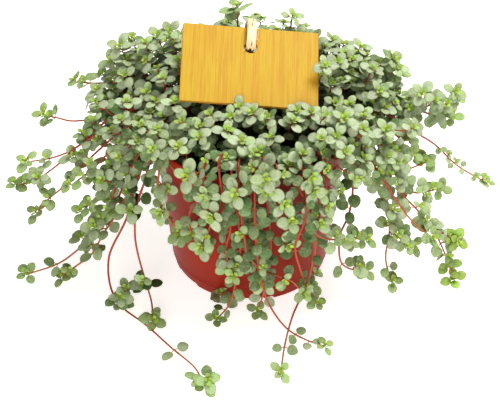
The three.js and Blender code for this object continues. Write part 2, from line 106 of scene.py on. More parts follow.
def smooth_path(points: list, step: float) -> np.ndarray:
    """Runs a centripetal Catmull-Rom curve through points and divides it evenly.

    Args:
        points: the points that the curve passes through.
        step: the wanted distance between the points of the result.

    Returns:
        An array of points along the curve, ends included.
    """
    knots = np.asarray(points, float)
    knots = np.vstack([2 * knots[0] - knots[1], knots, 2 * knots[-1] - knots[-2]])
    share = np.linspace(0, 1, 16, endpoint=False)[:, None]
    runs = []
    for p0, p1, p2, p3 in zip(knots, knots[1:], knots[2:], knots[3:]):
        gap0, gap1, gap2 = (math.sqrt(np.linalg.norm(b - a)) for a, b in ((p0, p1), (p1, p2), (p2, p3)))
        leave = ((p1 - p0) / gap0 - (p2 - p0) / (gap0 + gap1) + (p2 - p1) / gap1) * gap1
        arrive = ((p2 - p1) / gap1 - (p3 - p1) / (gap1 + gap2) + (p3 - p2) / gap2) * gap1
        bend = 2 * p1 - 2 * p2 + leave + arrive
        rise = -3 * p1 + 3 * p2 - 2 * leave - arrive
        runs.append(p1 + share * (leave + share * (rise + share * bend)))
    dense = np.vstack([*runs, knots[-2:-1]])
    length = np.concatenate([[0], np.cumsum(np.linalg.norm(np.diff(dense, axis=0), axis=1))])
    even = np.linspace(0, length[-1], max(3, round(length[-1] / step) + 1))
    return np.column_stack([np.interp(even, length, dense[:, axis]) for axis in range(3)])


def path_length(path: np.ndarray) -> float:
    """Measures a path of points."""
    return float(np.linalg.norm(np.diff(path, axis=0), axis=1).sum())


def smooth_step(values: np.ndarray, low: float, high: float) -> np.ndarray:
    """Rises smoothly from 0 at low to 1 at high."""
    share = np.clip((values - low) / (high - low), 0, 1)
    return share * share * (3 - 2 * share)


@dataclass
class Shape:
    """A closed mesh in millimetres, with values at its vertices and maybe a map at its face corners."""

    vertices: np.ndarray
    faces: list
    values: dict = field(default_factory=dict)
    corners: np.ndarray | None = None

    def make(self, name: str, sharp: float = 40.0) -> bpy.types.Object:
        """Makes the Blender object, in metres.

        Args:
            name: the piece's name.
            sharp: edges that turn by more degrees than this are drawn sharp.

        Returns:
            The new object, linked to the scene.
        """
        mesh = bpy.data.meshes.new(name)
        mesh.vertices.add(len(self.vertices))
        mesh.vertices.foreach_set("co", (self.vertices * MM).astype(np.float32).ravel())
        sizes = np.concatenate([np.full(len(block), block.shape[1]) for block in self.faces])
        loops = np.concatenate([block.ravel() for block in self.faces]).astype(np.int32)
        mesh.loops.add(len(loops))
        mesh.loops.foreach_set("vertex_index", loops)
        mesh.polygons.add(len(sizes))
        starts = np.concatenate([[0], np.cumsum(sizes)[:-1]]).astype(np.int32)
        mesh.polygons.foreach_set("loop_start", starts)
        mesh.update(calc_edges=True)
        for label, values in self.values.items():
            is_vector = values.ndim == 2
            layer = mesh.attributes.new(label, "FLOAT_VECTOR" if is_vector else "FLOAT", "POINT")
            layer.data.foreach_set("vector" if is_vector else "value", values.astype(np.float32).ravel())
        if self.corners is not None:
            uv_map = mesh.uv_layers.new(name="OFBake")
            uv_map.uv.foreach_set("vector", self.corners.astype(np.float32).ravel())
        mesh.shade_smooth()
        mesh.set_sharp_from_angle(angle=math.radians(sharp))
        made = bpy.data.objects.new(name, mesh)
        bpy.context.scene.collection.objects.link(made)
        return made


def merge(shapes: list) -> Shape:
    """Joins shapes into one.

    Args:
        shapes: shapes that hold the same values, and all or none of which have a map.

    Returns:
        The joined shape.
    """
    starts = np.cumsum([0] + [len(shape.vertices) for shape in shapes[:-1]])
    faces = [block + start for shape, start in zip(shapes, starts) for block in shape.faces]
    labels = shapes[0].values
    values = {label: np.concatenate([shape.values[label] for shape in shapes]) for label in labels}
    corners = None if shapes[0].corners is None else np.concatenate([shape.corners for shape in shapes])
    return Shape(np.concatenate([shape.vertices for shape in shapes]), faces, values, corners)


def grid_faces(rows: int, columns: int, loop_rows: bool = False) -> np.ndarray:
    """Lists the four-sided faces of a net whose columns run round in a ring.

    Args:
        rows: how many rings of points there are.
        columns: how many points each ring has.
        loop_rows: whether the last ring joins the first.

    Returns:
        An array of four vertex numbers for each face.
    """
    last = rows if loop_rows else rows - 1
    row, column = np.meshgrid(np.arange(last), np.arange(columns), indexing="ij")
    row, column = row.ravel(), column.ravel()
    after, beside = (row + 1) % rows, (column + 1) % columns
    return np.column_stack(
        [row * columns + column, row * columns + beside, after * columns + beside, after * columns + column]
    )


def lid_faces(middle: int, last: int, columns: int) -> np.ndarray:
    """Lists the triangles that close both ends of such a net.

    Args:
        middle: the number of the point that closes the first ring, before the one that closes the last.
        last: the number that the last ring starts with.
        columns: how many points each ring has.

    Returns:
        An array of three vertex numbers for each triangle.
    """
    ring = np.arange(columns)
    beside = (ring + 1) % columns
    first_lid = np.column_stack([np.full(columns, middle), beside, ring])
    return np.vstack([first_lid, np.column_stack([np.full(columns, middle + 1), last + ring, last + beside])])


def tubes(paths: np.ndarray, radii: np.ndarray, sides: int, flat: float = 1.0) -> Shape:
    """Makes closed round tubes that all have the same number of points.

    Args:
        paths: the centrelines, one row of points for each tube.
        radii: the radius at each point of each tube.
        sides: how many sides a tube has.
        flat: the section's thickness as a share of its width.

    Returns:
        The tubes, with the value "run" going from 0 to 1 along each.
    """
    count, steps = paths.shape[:2]
    along = unit(np.gradient(paths, axis=1))
    level = np.cross(along[:, 0], UP)
    level[np.linalg.norm(level, axis=1) < 0.05] = (1.0, 0.0, 0.0)
    sideways = [unit(level)]
    for step in range(1, steps):
        carried = sideways[-1] - along[:, step] * np.sum(sideways[-1] * along[:, step], axis=1, keepdims=True)
        sideways.append(unit(carried))
    side = np.stack(sideways, axis=1)
    normal = np.cross(along, side)
    turn = np.arange(sides) * 2 * math.pi / sides
    wide = radii[..., None, None] * np.cos(turn)[:, None] * side[:, :, None]
    deep = flat * radii[..., None, None] * np.sin(turn)[:, None] * normal[:, :, None]
    rings = (paths[:, :, None] + wide + deep).reshape(count, steps * sides, 3)
    start = paths[:, :1] - along[:, :1] * radii[:, :1, None] * 0.5
    end = paths[:, -1:] + along[:, -1:] * radii[:, -1:, None] * 0.7
    lids = lid_faces(steps * sides, (steps - 1) * sides, sides)
    size = steps * sides + 2
    shift = np.arange(count)[:, None, None] * size
    walls = (grid_faces(steps, sides)[None] + shift).reshape(-1, 4)
    run = np.concatenate([np.repeat(np.linspace(0, 1, steps), sides), [0, 1]])
    return Shape(
        np.concatenate([rings, start, end], axis=1).reshape(-1, 3),
        [walls, (lids[None] + shift).reshape(-1, 3)],
        {"run": np.tile(run, count)},
    )


def lathe(profile: np.ndarray, segments: int) -> Shape:
    """Turns a profile of (radius, height) points, which starts and ends on the axis, into a closed solid.

    Args:
        profile: the outline, listed from the underside outwards and up.
        segments: how many steps make the full turn.

    Returns:
        The solid, whose rings of vertices come first and whose two points on the axis come last.
    """
    turn = np.arange(segments) * 2 * math.pi / segments
    radius, height = profile[1:-1, 0], profile[1:-1, 1]
    level = np.outer(height, np.ones(segments))
    rings = np.stack([np.outer(radius, np.cos(turn)), np.outer(radius, np.sin(turn)), level], axis=-1)
    ends = np.array([[0, 0, profile[0, 1]], [0, 0, profile[-1, 1]]])
    count = len(radius) * segments
    lids = lid_faces(count, count - segments, segments)
    return Shape(np.vstack([rings.reshape(-1, 3), ends]), [grid_faces(len(radius), segments), lids])


def arc(centre: tuple, radius: float, start: float, end: float, count: int = 5) -> list:
    """Lists points of (radius, height) on a round stretch of a profile, from one angle to another."""
    turns = np.radians(np.linspace(start, end, count))
    return [(centre[0] + radius * math.cos(turn), centre[1] + radius * math.sin(turn)) for turn in turns]


# ---- Finishes ----
def linear(colour: str) -> tuple:
    """Turns an sRGB hex colour such as "#C8452C" into Blender's linear colour with alpha.

    Args:
        colour: the hex colour.

    Returns:
        Its red, green, blue and alpha.
    """
    parts = [int(colour[place : place + 2], 16) / 255 for place in (1, 3, 5)]
    bent = [part / 12.92 if part <= 0.04045 else ((part + 0.055) / 1.055) ** 2.4 for part in parts]
    return (*bent, 1.0)


def per_metre(size: float) -> float:
    """Gives the scale at which a pattern repeats about once in a size in millimetres."""
    return 1 / (size * MM)


def feed(node: bpy.types.Node, links: dict) -> None:
    """Sets a node's inputs, or joins them to what feeds them.

    Args:
        node: the node.
        links: what goes into each input, by name or number: a number, a colour, an output to join to it, or
            another node, whose first output in use is joined to it.
    """
    for label, value in links.items():
        if isinstance(value, bpy.types.Node):
            value = next(output for output in value.outputs if output.enabled)
        if isinstance(value, bpy.types.NodeSocket):
            node.id_data.links.new(value, node.inputs[label])
        else:
            node.inputs[label].default_value = value


def add_node(
    tree: bpy.types.NodeTree, kind: str, links: dict | None = None, stops: tuple = (), **settings: object
) -> bpy.types.Node:
    """Adds one node with its settings and its links.

    Args:
        tree: the material's nodes.
        kind: the node's class, such as "TexNoise", without Blender's "ShaderNode".
        links: what goes into its inputs, as for feed.
        stops: for a colour ramp, its places and hex colours in order.
        settings: the node's own options.

    Returns:
        The node.
    """
    made = tree.nodes.new("ShaderNode" + kind)
    for label, value in settings.items():
        setattr(made, label, value)
    feed(made, links or {})
    for index, (place, colour) in enumerate(stops):
        elements = made.color_ramp.elements
        element = elements[index] if index < 2 else elements.new(place)
        element.position = place
        element.color = linear(colour)
    return made


FACTOR, UNDER, OVER = 0, 6, 7  # the numbers of a colour mix's inputs


@dataclass(frozen=True)
class Finish:
    """What every finish shares: its name and its uniform values. Each kind adds its own skin."""

    name: str
    roughness: float
    ior: float

    def skin(self, add: Callable) -> dict:
        """Adds the nodes of the surface's pattern.

        Args:
            add: add_node for this material's nodes.

        Returns:
            What goes into each input of the surface shader.
        """
        raise NotImplementedError

    def make(self) -> bpy.types.Material:
        """Makes the material.

        Returns:
            The new material.
        """
        material = bpy.data.materials.new(self.name)
        material.use_nodes = True
        surface = material.node_tree.nodes["Principled BSDF"]
        feed(surface, {"Roughness": self.roughness, "IOR": self.ior})
        feed(surface, self.skin(partial(add_node, material.node_tree)))
        return material


@dataclass(frozen=True)
class PileaLeaf(Finish):
    """Living leaf, grown: a thin waxy skin over soft tissue.

    The eye sees a matt silver bloom over sage green, a darker green margin, three pale veins that part at the
    base, lime-green young leaves, deep green old ones and a paler underside. The deepest greens are also
    painted shade, given to the leaves deep in the crown so that its gaps look dark.
    """

    name: str = "pilea_leaf_waxy"
    roughness: float = 0.5
    ior: float = 1.42
    mottle: float = 1.3
    pores: float = 0.35
    # From lime when a leaf opens to deep green when it is old; the deepest greens are also painted shade for
    # leaves deep in the crown.
    ages: tuple = (
        (0.0, "#B0C540"), (0.13, "#9DB746"), (0.3, "#8EA854"), (0.5, "#94A96C"), (0.62, "#9DAB7D"),
        (0.73, "#A0A98A"), (0.8, "#82935F"), (0.88, "#5D7440"), (0.95, "#4D6433"), (1.0, "#3C5226"),
    )
    bloom: str = "#B5C0A2"
    vein: str = "#BFD0A4"
    margin: str = "#6B7D4A"
    underside: str = "#8FA562"
    vein_place: float = 0.52

    def skin(self, add: Callable) -> dict:
        """Works the skin out from the values "leaf_place" and "leaf_tone" that every blade carries.

        Args:
            add: as for Finish.skin.

        Returns:
            The surface shader's inputs.
        """
        place = add("Attribute", attribute_name="leaf_place").outputs["Vector"]
        tone = add("Attribute", attribute_name="leaf_tone").outputs["Vector"]
        along, aside, rim = add("SeparateXYZ", {0: place}).outputs
        age, chance, side = add("SeparateXYZ", {0: tone}).outputs
        spot = add("TexCoord").outputs["Object"]
        cloud = add("TexNoise", {"Vector": spot, "Scale": per_metre(self.mottle), "Detail": 4.0})
        grain = add("TexNoise", {"Vector": spot, "Scale": per_metre(self.pores), "Detail": 2.0})

        # The colour by age, whose darkest old tones are painted shade in the crown's gaps.
        grown = add("ValToRGB", {0: age}, stops=self.ages)
        lift = add("MapRange", {"Value": chance, "To Min": 0.82, "To Max": 1.14})
        shift = add("MapRange", {"Value": chance, "To Min": 0.485, "To Max": 0.512})
        varied = add("HueSaturation", {"Hue": shift, "Value": lift, "Color": grown})

        # The bloom: silver flecks that thin out towards the margin and on young leaves.
        flecks = add("MapRange", {"Value": cloud, "From Min": 0.42, "From Max": 0.66})
        ripe = add("MapRange", {"Value": age, "From Min": 0.25, "From Max": 0.6, "To Max": 0.5})
        fading = add("MapRange", {"Value": age, "From Min": 0.95, "From Max": 0.8})
        healthy = add("Math", {0: ripe, 1: fading}, operation="MULTIPLY")
        bloom = add("Math", {0: flecks, 1: healthy}, operation="MULTIPLY")
        silvered = add("Mix", {FACTOR: bloom, UNDER: varied, OVER: linear(self.bloom)}, data_type="RGBA")

        # The veins: the midrib, and two that follow the margin at about half way.
        lengthwise = add("Math", {0: along, 1: 2.0, 2: -1.0}, operation="MULTIPLY_ADD")
        squared = add("Math", {0: lengthwise, 1: lengthwise}, operation="MULTIPLY")
        room = add("Math", {0: 1.03, 1: squared}, operation="SUBTRACT")
        reach = add("Math", {0: room}, operation="SQRT")
        share = add("Math", {0: aside, 1: reach}, operation="DIVIDE")
        width = add("Math", {0: share}, operation="ABSOLUTE")
        outer = add("Math", {0: width, 1: self.vein_place}, operation="SUBTRACT")
        beside = add("Math", {0: outer}, operation="ABSOLUTE")
        nearest = add("Math", {0: beside, 1: width}, operation="MINIMUM")
        line = {"Value": nearest, "From Min": 0.11, "From Max": 0.02}
        vein = add("MapRange", line, interpolation_type="SMOOTHSTEP")
        pale = add("MapRange", {"Value": age, "From Min": 0.85, "From Max": 0.7, "To Max": 0.24})
        faint = add("Math", {0: vein, 1: pale}, operation="MULTIPLY")
        veined = add("Mix", {FACTOR: faint, UNDER: silvered, OVER: linear(self.vein)}, data_type="RGBA")

        # The margin: a thin darker line. The underside: paler and plainer.
        line = {"Value": rim, "From Min": 0.84, "From Max": 1.0, "To Max": 0.62}
        border = add("MapRange", line, interpolation_type="SMOOTHSTEP")
        edged = add("Mix", {FACTOR: border, UNDER: veined, OVER: linear(self.margin)}, data_type="RGBA")
        below = add("MapRange", {"Value": side, "From Min": 0.0, "From Max": -0.35, "To Max": 0.75})
        colour = add("Mix", {FACTOR: below, UNDER: edged, OVER: linear(self.underside)}, data_type="RGBA")

        sunk = add("Math", {0: vein, 1: -0.7}, operation="MULTIPLY")
        relief = add("Math", {0: grain, 1: 0.5, 2: sunk}, operation="MULTIPLY_ADD")
        gloss = {"Value": cloud, "To Min": self.roughness - 0.1, "To Max": self.roughness + 0.14}
        return {
            "Base Color": colour,
            "Roughness": add("MapRange", gloss),
            "Normal": add("Bump", {"Height": relief, "Strength": 0.5, "Distance": 0.12 * MM}),
            "Subsurface Weight": 0.12,
            "Subsurface Radius": (0.6, 1.0, 0.3),
            "Subsurface Scale": 0.8 * MM,
            "Sheen Weight": 0.12,
            "Sheen Roughness": 0.5,
        }


@dataclass(frozen=True)
class PileaStem(Finish):
    """Living stem, grown: a thin, smooth, slightly glossy skin.

    The eye sees rust red that fades to orange and then green at the tips, with fine lengthwise streaks. At
    the old base it is near-black, which is painted shade for the stems deep in the crown.
    """

    name: str = "pilea_stem_red"
    roughness: float = 0.42
    ior: float = 1.45
    streak: float = 0.9
    # By youth, from the old base to the young tip. The near-black at 0 is painted shade for the crown's stems
    # deep in its gaps; the reds are the stem's own.
    ages: tuple = (
        (0.0, "#2A140F"), (0.22, "#5C241A"), (0.42, "#923620"), (0.65, "#A64C2C"), (0.82, "#AD6C3A"),
        (1.0, "#9DB04E"),
    )

    def skin(self, add: Callable) -> dict:
        """Works the skin out from the value "youth" along the stem.

        Args:
            add: as for Finish.skin.

        Returns:
            The surface shader's inputs.
        """
        youth = add("Attribute", attribute_name="youth").outputs["Fac"]
        spot = add("TexCoord").outputs["Object"]
        patches = add("TexNoise", {"Vector": spot, "Scale": per_metre(self.streak), "Detail": 3.0})
        shifted = add("MapRange", {"Value": patches, "To Min": -0.16, "To Max": 0.16})
        place = add("Math", {0: youth, 1: shifted}, operation="ADD")
        return {
            "Base Color": add("ValToRGB", {0: place}, stops=self.ages),
            "Normal": add("Bump", {"Height": patches, "Strength": 0.35, "Distance": 0.1 * MM}),
            "Subsurface Weight": 0.1,
            "Subsurface Radius": (1.0, 0.4, 0.2),
            "Subsurface Scale": 0.6 * MM,
        }


@dataclass(frozen=True)
class MouldedPolypropylene(Finish):
    """Polypropylene, injection moulded with terracotta-red pigment.

    The eye sees a satin skin with broad soft reflections, a faint orange peel, paler scuffs that run round
    the pot, and a cloudy darker tone towards the foot.
    """

    name: str = "terracotta_polypropylene_moulded"
    roughness: float = 0.36
    ior: float = 1.49
    peel: float = 1.6
    scuff: float = 7.0
    cloud: float = 38.0
    pigment: tuple = ((0.3, "#881F09"), (0.72, "#93290F"))
    rubbed: str = "#C46046"
    foot_tone: str = "#7E2A1A"
    gleam: float = 0.2

    def skin(self, add: Callable) -> dict:
        """Clouds the pigment and adds scuffs, which lie level, so their pattern is squeezed upright.

        Args:
            add: as for Finish.skin.

        Returns:
            The surface shader's inputs.
        """
        spot = add("TexCoord").outputs["Object"]
        peel = add("TexNoise", {"Vector": spot, "Scale": per_metre(self.peel), "Detail": 3.0})
        cloud = add("TexNoise", {"Vector": spot, "Scale": per_metre(self.cloud), "Detail": 3.0})
        squeezed = add("Mapping", {"Vector": spot, "Scale": (1.0, 1.0, 14.0)})
        scuffs = {"Vector": squeezed, "Scale": per_metre(self.scuff), "Detail": 6.0, "Roughness": 0.7}
        rubs = add("TexNoise", scuffs)
        worn = add("MapRange", {"Value": rubs, "From Min": 0.62, "From Max": 0.82, "To Max": 0.28})
        body = add("ValToRGB", {0: cloud}, stops=self.pigment)
        rubbed = add("Mix", {FACTOR: worn, UNDER: body, OVER: linear(self.rubbed)}, data_type="RGBA")
        level = add("SeparateXYZ", {0: spot}).outputs["Z"]
        # Darker in clouds over the lowest 20 mm of the pot, towards its foot.
        foot = add("MapRange", {"Value": level, "From Min": 0.02, "From Max": 0.0, "To Max": 0.4})
        darker_foot = add("Math", {0: foot, 1: cloud}, operation="MULTIPLY")
        colour = add("Mix", {FACTOR: darker_foot, UNDER: rubbed, OVER: linear(self.foot_tone)}, data_type="RGBA")
        gloss = {"Value": rubs, "To Min": self.roughness - 0.06, "To Max": self.roughness + 0.16}
        return {
            "Base Color": colour,
            "Roughness": add("MapRange", gloss),
            "Normal": add("Bump", {"Height": peel, "Strength": 0.25, "Distance": 0.08 * MM}),
            "Specular IOR Level": self.gleam,
        }


@dataclass(frozen=True)
class PeatSoil(Finish):
    """Potting peat, milled and pressed into the pot while moist.

    The eye sees nearly black brown with no shine, lighter fibres and crumbs, and a rough broken surface.
    """

    name: str = "potting_peat_milled"
    roughness: float = 0.95
    ior: float = 1.4
    crumb: float = 2.2
    fibre: float = 0.7
    browns: tuple = ((0.25, "#120C09"), (0.55, "#2A1D15"), (0.75, "#4A3424"))
    speckle: float = 0.35

    def skin(self, add: Callable) -> dict:
        """Lays crumbs over fibres.

        Args:
            add: as for Finish.skin.

        Returns:
            The surface shader's inputs.
        """
        spot = add("TexCoord").outputs["Object"]
        crumbs = add("TexVoronoi", {"Vector": spot, "Scale": per_metre(self.crumb)}).outputs
        threads = {"Vector": spot, "Scale": per_metre(self.fibre), "Detail": 5.0, "Distortion": 1.2}
        fibres = add("TexNoise", threads)
        colour = add("ValToRGB", {0: fibres}, stops=self.browns)
        specks = {FACTOR: self.speckle, UNDER: colour, OVER: crumbs["Color"]}
        rough = add("Math", {0: crumbs["Distance"], 1: fibres}, operation="ADD")
        return {
            "Base Color": add("Mix", specks, data_type="RGBA", blend_type="MULTIPLY"),
            "Normal": add("Bump", {"Height": rough, "Strength": 0.9, "Distance": 0.8 * MM}),
        }


@dataclass(frozen=True)
class SawnPine(Finish):
    """Pine, sawn thin, sanded and oiled.

    The eye sees golden yellow with close upright lines of darker late wood, finer pores between them, and a
    soft sheen; the card's edges are a little darker.
    """

    name: str = "pine_sawn_and_oiled"
    roughness: float = 0.5
    ior: float = 1.5
    ring: float = 1.6
    pore: float = 0.42
    cloud: float = 30.0
    stretch: float = 0.03
    ring_tones: tuple = (
        (0.34, "#B79319"), (0.46, "#BE9D1F"), (0.54, "#B99319"), (0.62, "#B38816"), (0.7, "#BB951A"),
    )
    pore_tone: str = "#A4700F"
    warm_tone: str = "#BC8214"
    edge_tone: str = "#B87932"
    gleam: float = 0.3

    def skin(self, add: Callable) -> dict:
        """Draws the grain up the card by the value "card_place", in millimetres on the card.

        Args:
            add: as for Finish.skin.

        Returns:
            The surface shader's inputs.
        """
        place = add("Attribute", attribute_name="card_place").outputs["Vector"]
        drawn = add("Mapping", {"Vector": place, "Scale": (1.0, self.stretch, 0.6)})
        rings = add("TexNoise", {"Vector": drawn, "Scale": 1 / self.ring, "Detail": 3.0, "Distortion": 0.25})
        pores = add("TexNoise", {"Vector": drawn, "Scale": 1 / self.pore, "Detail": 3.0, "Roughness": 0.65})
        clouds = add("TexNoise", {"Vector": place, "Scale": 1 / self.cloud, "Detail": 2.0})
        early = add("ValToRGB", {0: rings}, stops=self.ring_tones)
        fine = add("MapRange", {"Value": pores, "From Min": 0.5, "From Max": 0.78, "To Max": 0.5})
        lined = add("Mix", {FACTOR: fine, UNDER: early, OVER: linear(self.pore_tone)}, data_type="RGBA")
        warm = add("MapRange", {"Value": clouds, "From Min": 0.35, "From Max": 0.75, "To Max": 0.35})
        toned = add("Mix", {FACTOR: warm, UNDER: lined, OVER: linear(self.warm_tone)}, data_type="RGBA")
        edge = add("Attribute", attribute_name="card_edge").outputs["Fac"]
        darker = add("Math", {0: edge, 1: 0.5}, operation="MULTIPLY")
        colour = add("Mix", {FACTOR: darker, UNDER: toned, OVER: linear(self.edge_tone)}, data_type="RGBA")
        gloss = {"Value": pores, "To Min": self.roughness - 0.1, "To Max": self.roughness + 0.15}
        relief = add("Math", {0: pores, 1: rings}, operation="ADD")
        return {
            "Base Color": colour,
            "Roughness": add("MapRange", gloss),
            "Normal": add("Bump", {"Height": relief, "Strength": 0.35, "Distance": 0.12 * MM}),
            "Specular IOR Level": self.gleam,
        }


@dataclass(frozen=True)
class PlantFibre(Finish):
    """A dry plant fibre that was split or cut lengthwise, such as raffia or bamboo.

    The eye sees lengthwise lines of light and dark, and a soft gleam along them.
    """

    name: str = "raffia_split_and_dried"
    roughness: float = 0.55
    ior: float = 1.5
    line: float = 0.45
    cloud: float = 5.0
    light: str = "#F8E5C4"
    middle: str = "#EED3A6"
    dark: str = "#DDB080"
    depth: float = 0.12

    def skin(self, add: Callable) -> dict:
        """Draws the lines by the value "fibre_place", in millimetres along and round the fibre.

        Args:
            add: as for Finish.skin.

        Returns:
            The surface shader's inputs.
        """
        place = add("Attribute", attribute_name="fibre_place").outputs["Vector"]
        lines = add("TexNoise", {"Vector": place, "Scale": 1 / self.line, "Detail": 4.0, "Roughness": 0.6})
        spot = add("TexCoord").outputs["Object"]
        clouds = add("TexNoise", {"Vector": spot, "Scale": per_metre(self.cloud), "Detail": 2.0})
        tones = ((0.28, self.dark), (0.42, self.middle), (0.62, self.light))
        lined = add("ValToRGB", {0: lines}, stops=tones)
        uneven = add("MapRange", {"Value": clouds, "From Min": 0.45, "From Max": 0.75, "To Max": 0.4})
        colour = add("Mix", {FACTOR: uneven, UNDER: lined, OVER: linear(self.dark)}, data_type="RGBA")
        return {
            "Base Color": colour,
            "Normal": add("Bump", {"Height": lines, "Strength": 0.6, "Distance": self.depth * MM}),
        }


@dataclass(frozen=True)
class StudioFloor(Finish):
    """A pale light table: matt opal glass, lit softly from below, which keeps the shadows on it faint."""

    name: str = "studio_floor_opal_glass"
    roughness: float = 0.8
    ior: float = 1.5
    grain: float = 3.0
    tones: tuple = ((0.3, "#F1F0EE"), (0.7, "#F4F3F1"))
    glow: float = 0.55

    def skin(self, add: Callable) -> dict:
        """Clouds the glass very faintly.

        Args:
            add: as for Finish.skin.

        Returns:
            The surface shader's inputs.
        """
        spot = add("TexCoord").outputs["Object"]
        grain = add("TexNoise", {"Vector": spot, "Scale": per_metre(self.grain), "Detail": 2.0})
        return {
            "Base Color": add("ValToRGB", {0: grain}, stops=self.tones),
            "Emission Color": linear("#FFFFFF"),
            "Emission Strength": self.glow,
        }


def dress(piece: bpy.types.Object, finish: bpy.types.Material, slot: Slot, *nodes: str) -> None:
    """Gives a piece its finish and ties it to the frame.

    Args:
        piece: the new object.
        finish: its material.
        slot: the record's slot that the finish stands for; not used.
        nodes: the CAD nodes that the piece replaces.
    """
    piece.data.materials.append(finish)
    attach(piece, BODY)
    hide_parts(*nodes)
    LOG.info("%s: %d faces, %s", piece.name, len(piece.data.polygons), finish.name)


# ---- Pot and soil ----
@dataclass
class Pot:
    """The moulded grower's pot: lip, tapered wall, ridge, notched foot ring and drained floor."""

    height: float = 110.0
    rim_radius: float = 65.0
    rim_round: float = 0.8
    lip_foot: float = 86.0
    lip_foot_radius: float = 63.6
    shoulder_radius: float = 60.5
    ridge_height: float = 7.6
    ridge_radius: float = 53.8
    foot_radius: float = 52.6
    foot_round: float = 1.5
    wall: float = 1.6
    floor_top: float = 4.1
    recess: float = 2.5
    pad_radius: float = 18.0
    ring_radius: float = 46.0
    segments: int = 180
    notch_count: int = 6
    notch_angle: float = -84.0
    notch_width: float = 21.0
    notch_height: float = 2.4
    drain_count: int = 6
    drain_angle: float = -54.0
    drain_circle: float = 38.0
    drain_radius: float = 4.5

    def skin_radius(self, height: np.ndarray) -> np.ndarray:
        """Gives the radius of the pot's outside at each height, lip included.

        Args:
            height: one height or many.

        Returns:
            The radius at each.
        """
        heights = (0, self.ridge_height, self.lip_foot - 0.5, self.lip_foot, self.height)
        lip = (self.lip_foot_radius, self.rim_radius)
        return np.interp(height, heights, (self.foot_radius, self.ridge_radius, self.shoulder_radius, *lip))

    def profile(self) -> np.ndarray:
        """Draws half of the pot's section, from the middle of the underside out, up, over the rim and in.

        Returns:
            Its points of (radius, height).
        """
        inner_rim = self.rim_radius - self.wall
        inner_lip = self.lip_foot_radius - self.wall
        inner_shoulder = self.shoulder_radius - self.wall
        inner_foot = self.ridge_radius - self.wall
        foot, ridge, ridge_radius = self.foot_round, self.ridge_height, self.ridge_radius
        points = [(0, 0.7), (2.6, 0.7), (3.3, 0.0), (self.pad_radius, 0)]
        points += [(self.pad_radius + 1.5, self.recess), (self.ring_radius - 1.5, self.recess)]
        points += [(self.ring_radius - 0.3, 0.3), (self.ring_radius, 0)]
        points += arc((self.foot_radius - foot, foot), foot, -90, 0)
        points += [(self.foot_radius + 0.3, ridge - 1.0), (ridge_radius, ridge - 0.5)]
        points += [(ridge_radius + 0.15, ridge), (ridge_radius, ridge + 0.7)]
        for share in np.linspace(0.08, 1, 14):
            radius = ridge_radius + share * (self.shoulder_radius - ridge_radius)
            points.append((radius, ridge + share * (self.lip_foot - 1.4 - ridge)))
        points += arc((self.shoulder_radius + 1.2, self.lip_foot - 1.2), 1.2, 180, 90, 4)
        points += arc((self.lip_foot_radius - 0.6, self.lip_foot + 0.6), 0.6, -90, 0, 4)
        for share in (0.3, 0.6, 0.9):
            points.append((self.lip_foot_radius + share * 1.4, self.lip_foot + share * 23.2))
        points += arc((self.rim_radius - self.rim_round, self.height - self.rim_round), self.rim_round, 0, 90)
        points += arc((inner_rim + self.rim_round, self.height - self.rim_round), self.rim_round, 90, 180)
        points += [(inner_lip, self.lip_foot + 2.6), (inner_shoulder, self.lip_foot)]
        points += arc((inner_foot - 2.5, self.floor_top + 2.5), 2.5, 0, -90)
        points.append((0, self.floor_top))
        return np.array(points)

    def with_notches(self, shape: Shape) -> Shape:
        """Lifts the foot ring's underside where the notches are.

        Args:
            shape: the turned pot, which is changed.

        Returns:
            The same shape.
        """
        x, y, z = shape.vertices.T
        step = 360 / self.notch_count
        angle = np.degrees(np.arctan2(y, x)) - self.notch_angle
        off = np.abs((angle + step / 2) % step - step / 2)
        half = math.degrees(self.notch_width / 2 / self.foot_radius)
        lift = self.notch_height * (1 - smooth_step(off, half - 0.9, half + 0.9))
        in_ring = (np.hypot(x, y) > self.ring_radius - 0.5) & (z < self.notch_height)
        shape.vertices[:, 2] = np.where(in_ring, np.maximum(z, lift), z)
        return shape

    def drill(self, piece: bpy.types.Object) -> None:
        """Cuts the drain holes through the floor.

        Args:
            piece: the pot.
        """
        for index in range(self.drain_count):
            x, y, _ = on_circle(self.drain_angle + index * 360 / self.drain_count, self.drain_circle)
            drill = lathe(np.array([(0, -3), (self.drain_radius, -3), (self.drain_radius, 9), (0, 9)]), 28)
            cutter = Shape(drill.vertices + np.array([x, y, 0]), drill.faces).make("drill")
            cut = piece.modifiers.new("drain", "BOOLEAN")
            cut.operation = "DIFFERENCE"
            cut.object = cutter
            view = bpy.context.evaluated_depsgraph_get()
            drilled = bpy.data.meshes.new_from_object(piece.evaluated_get(view))
            piece.modifiers.clear()
            piece.data = drilled
            bpy.data.objects.remove(cutter)

    def build(self) -> None:
        """Makes the pot."""
        piece = self.with_notches(lathe(self.profile(), self.segments)).make("pot_moulded", sharp=50)
        self.drill(piece)
        piece.data.name = "pot_moulded"
        dress(piece, MouldedPolypropylene().make(), Slot.POT, "pot")


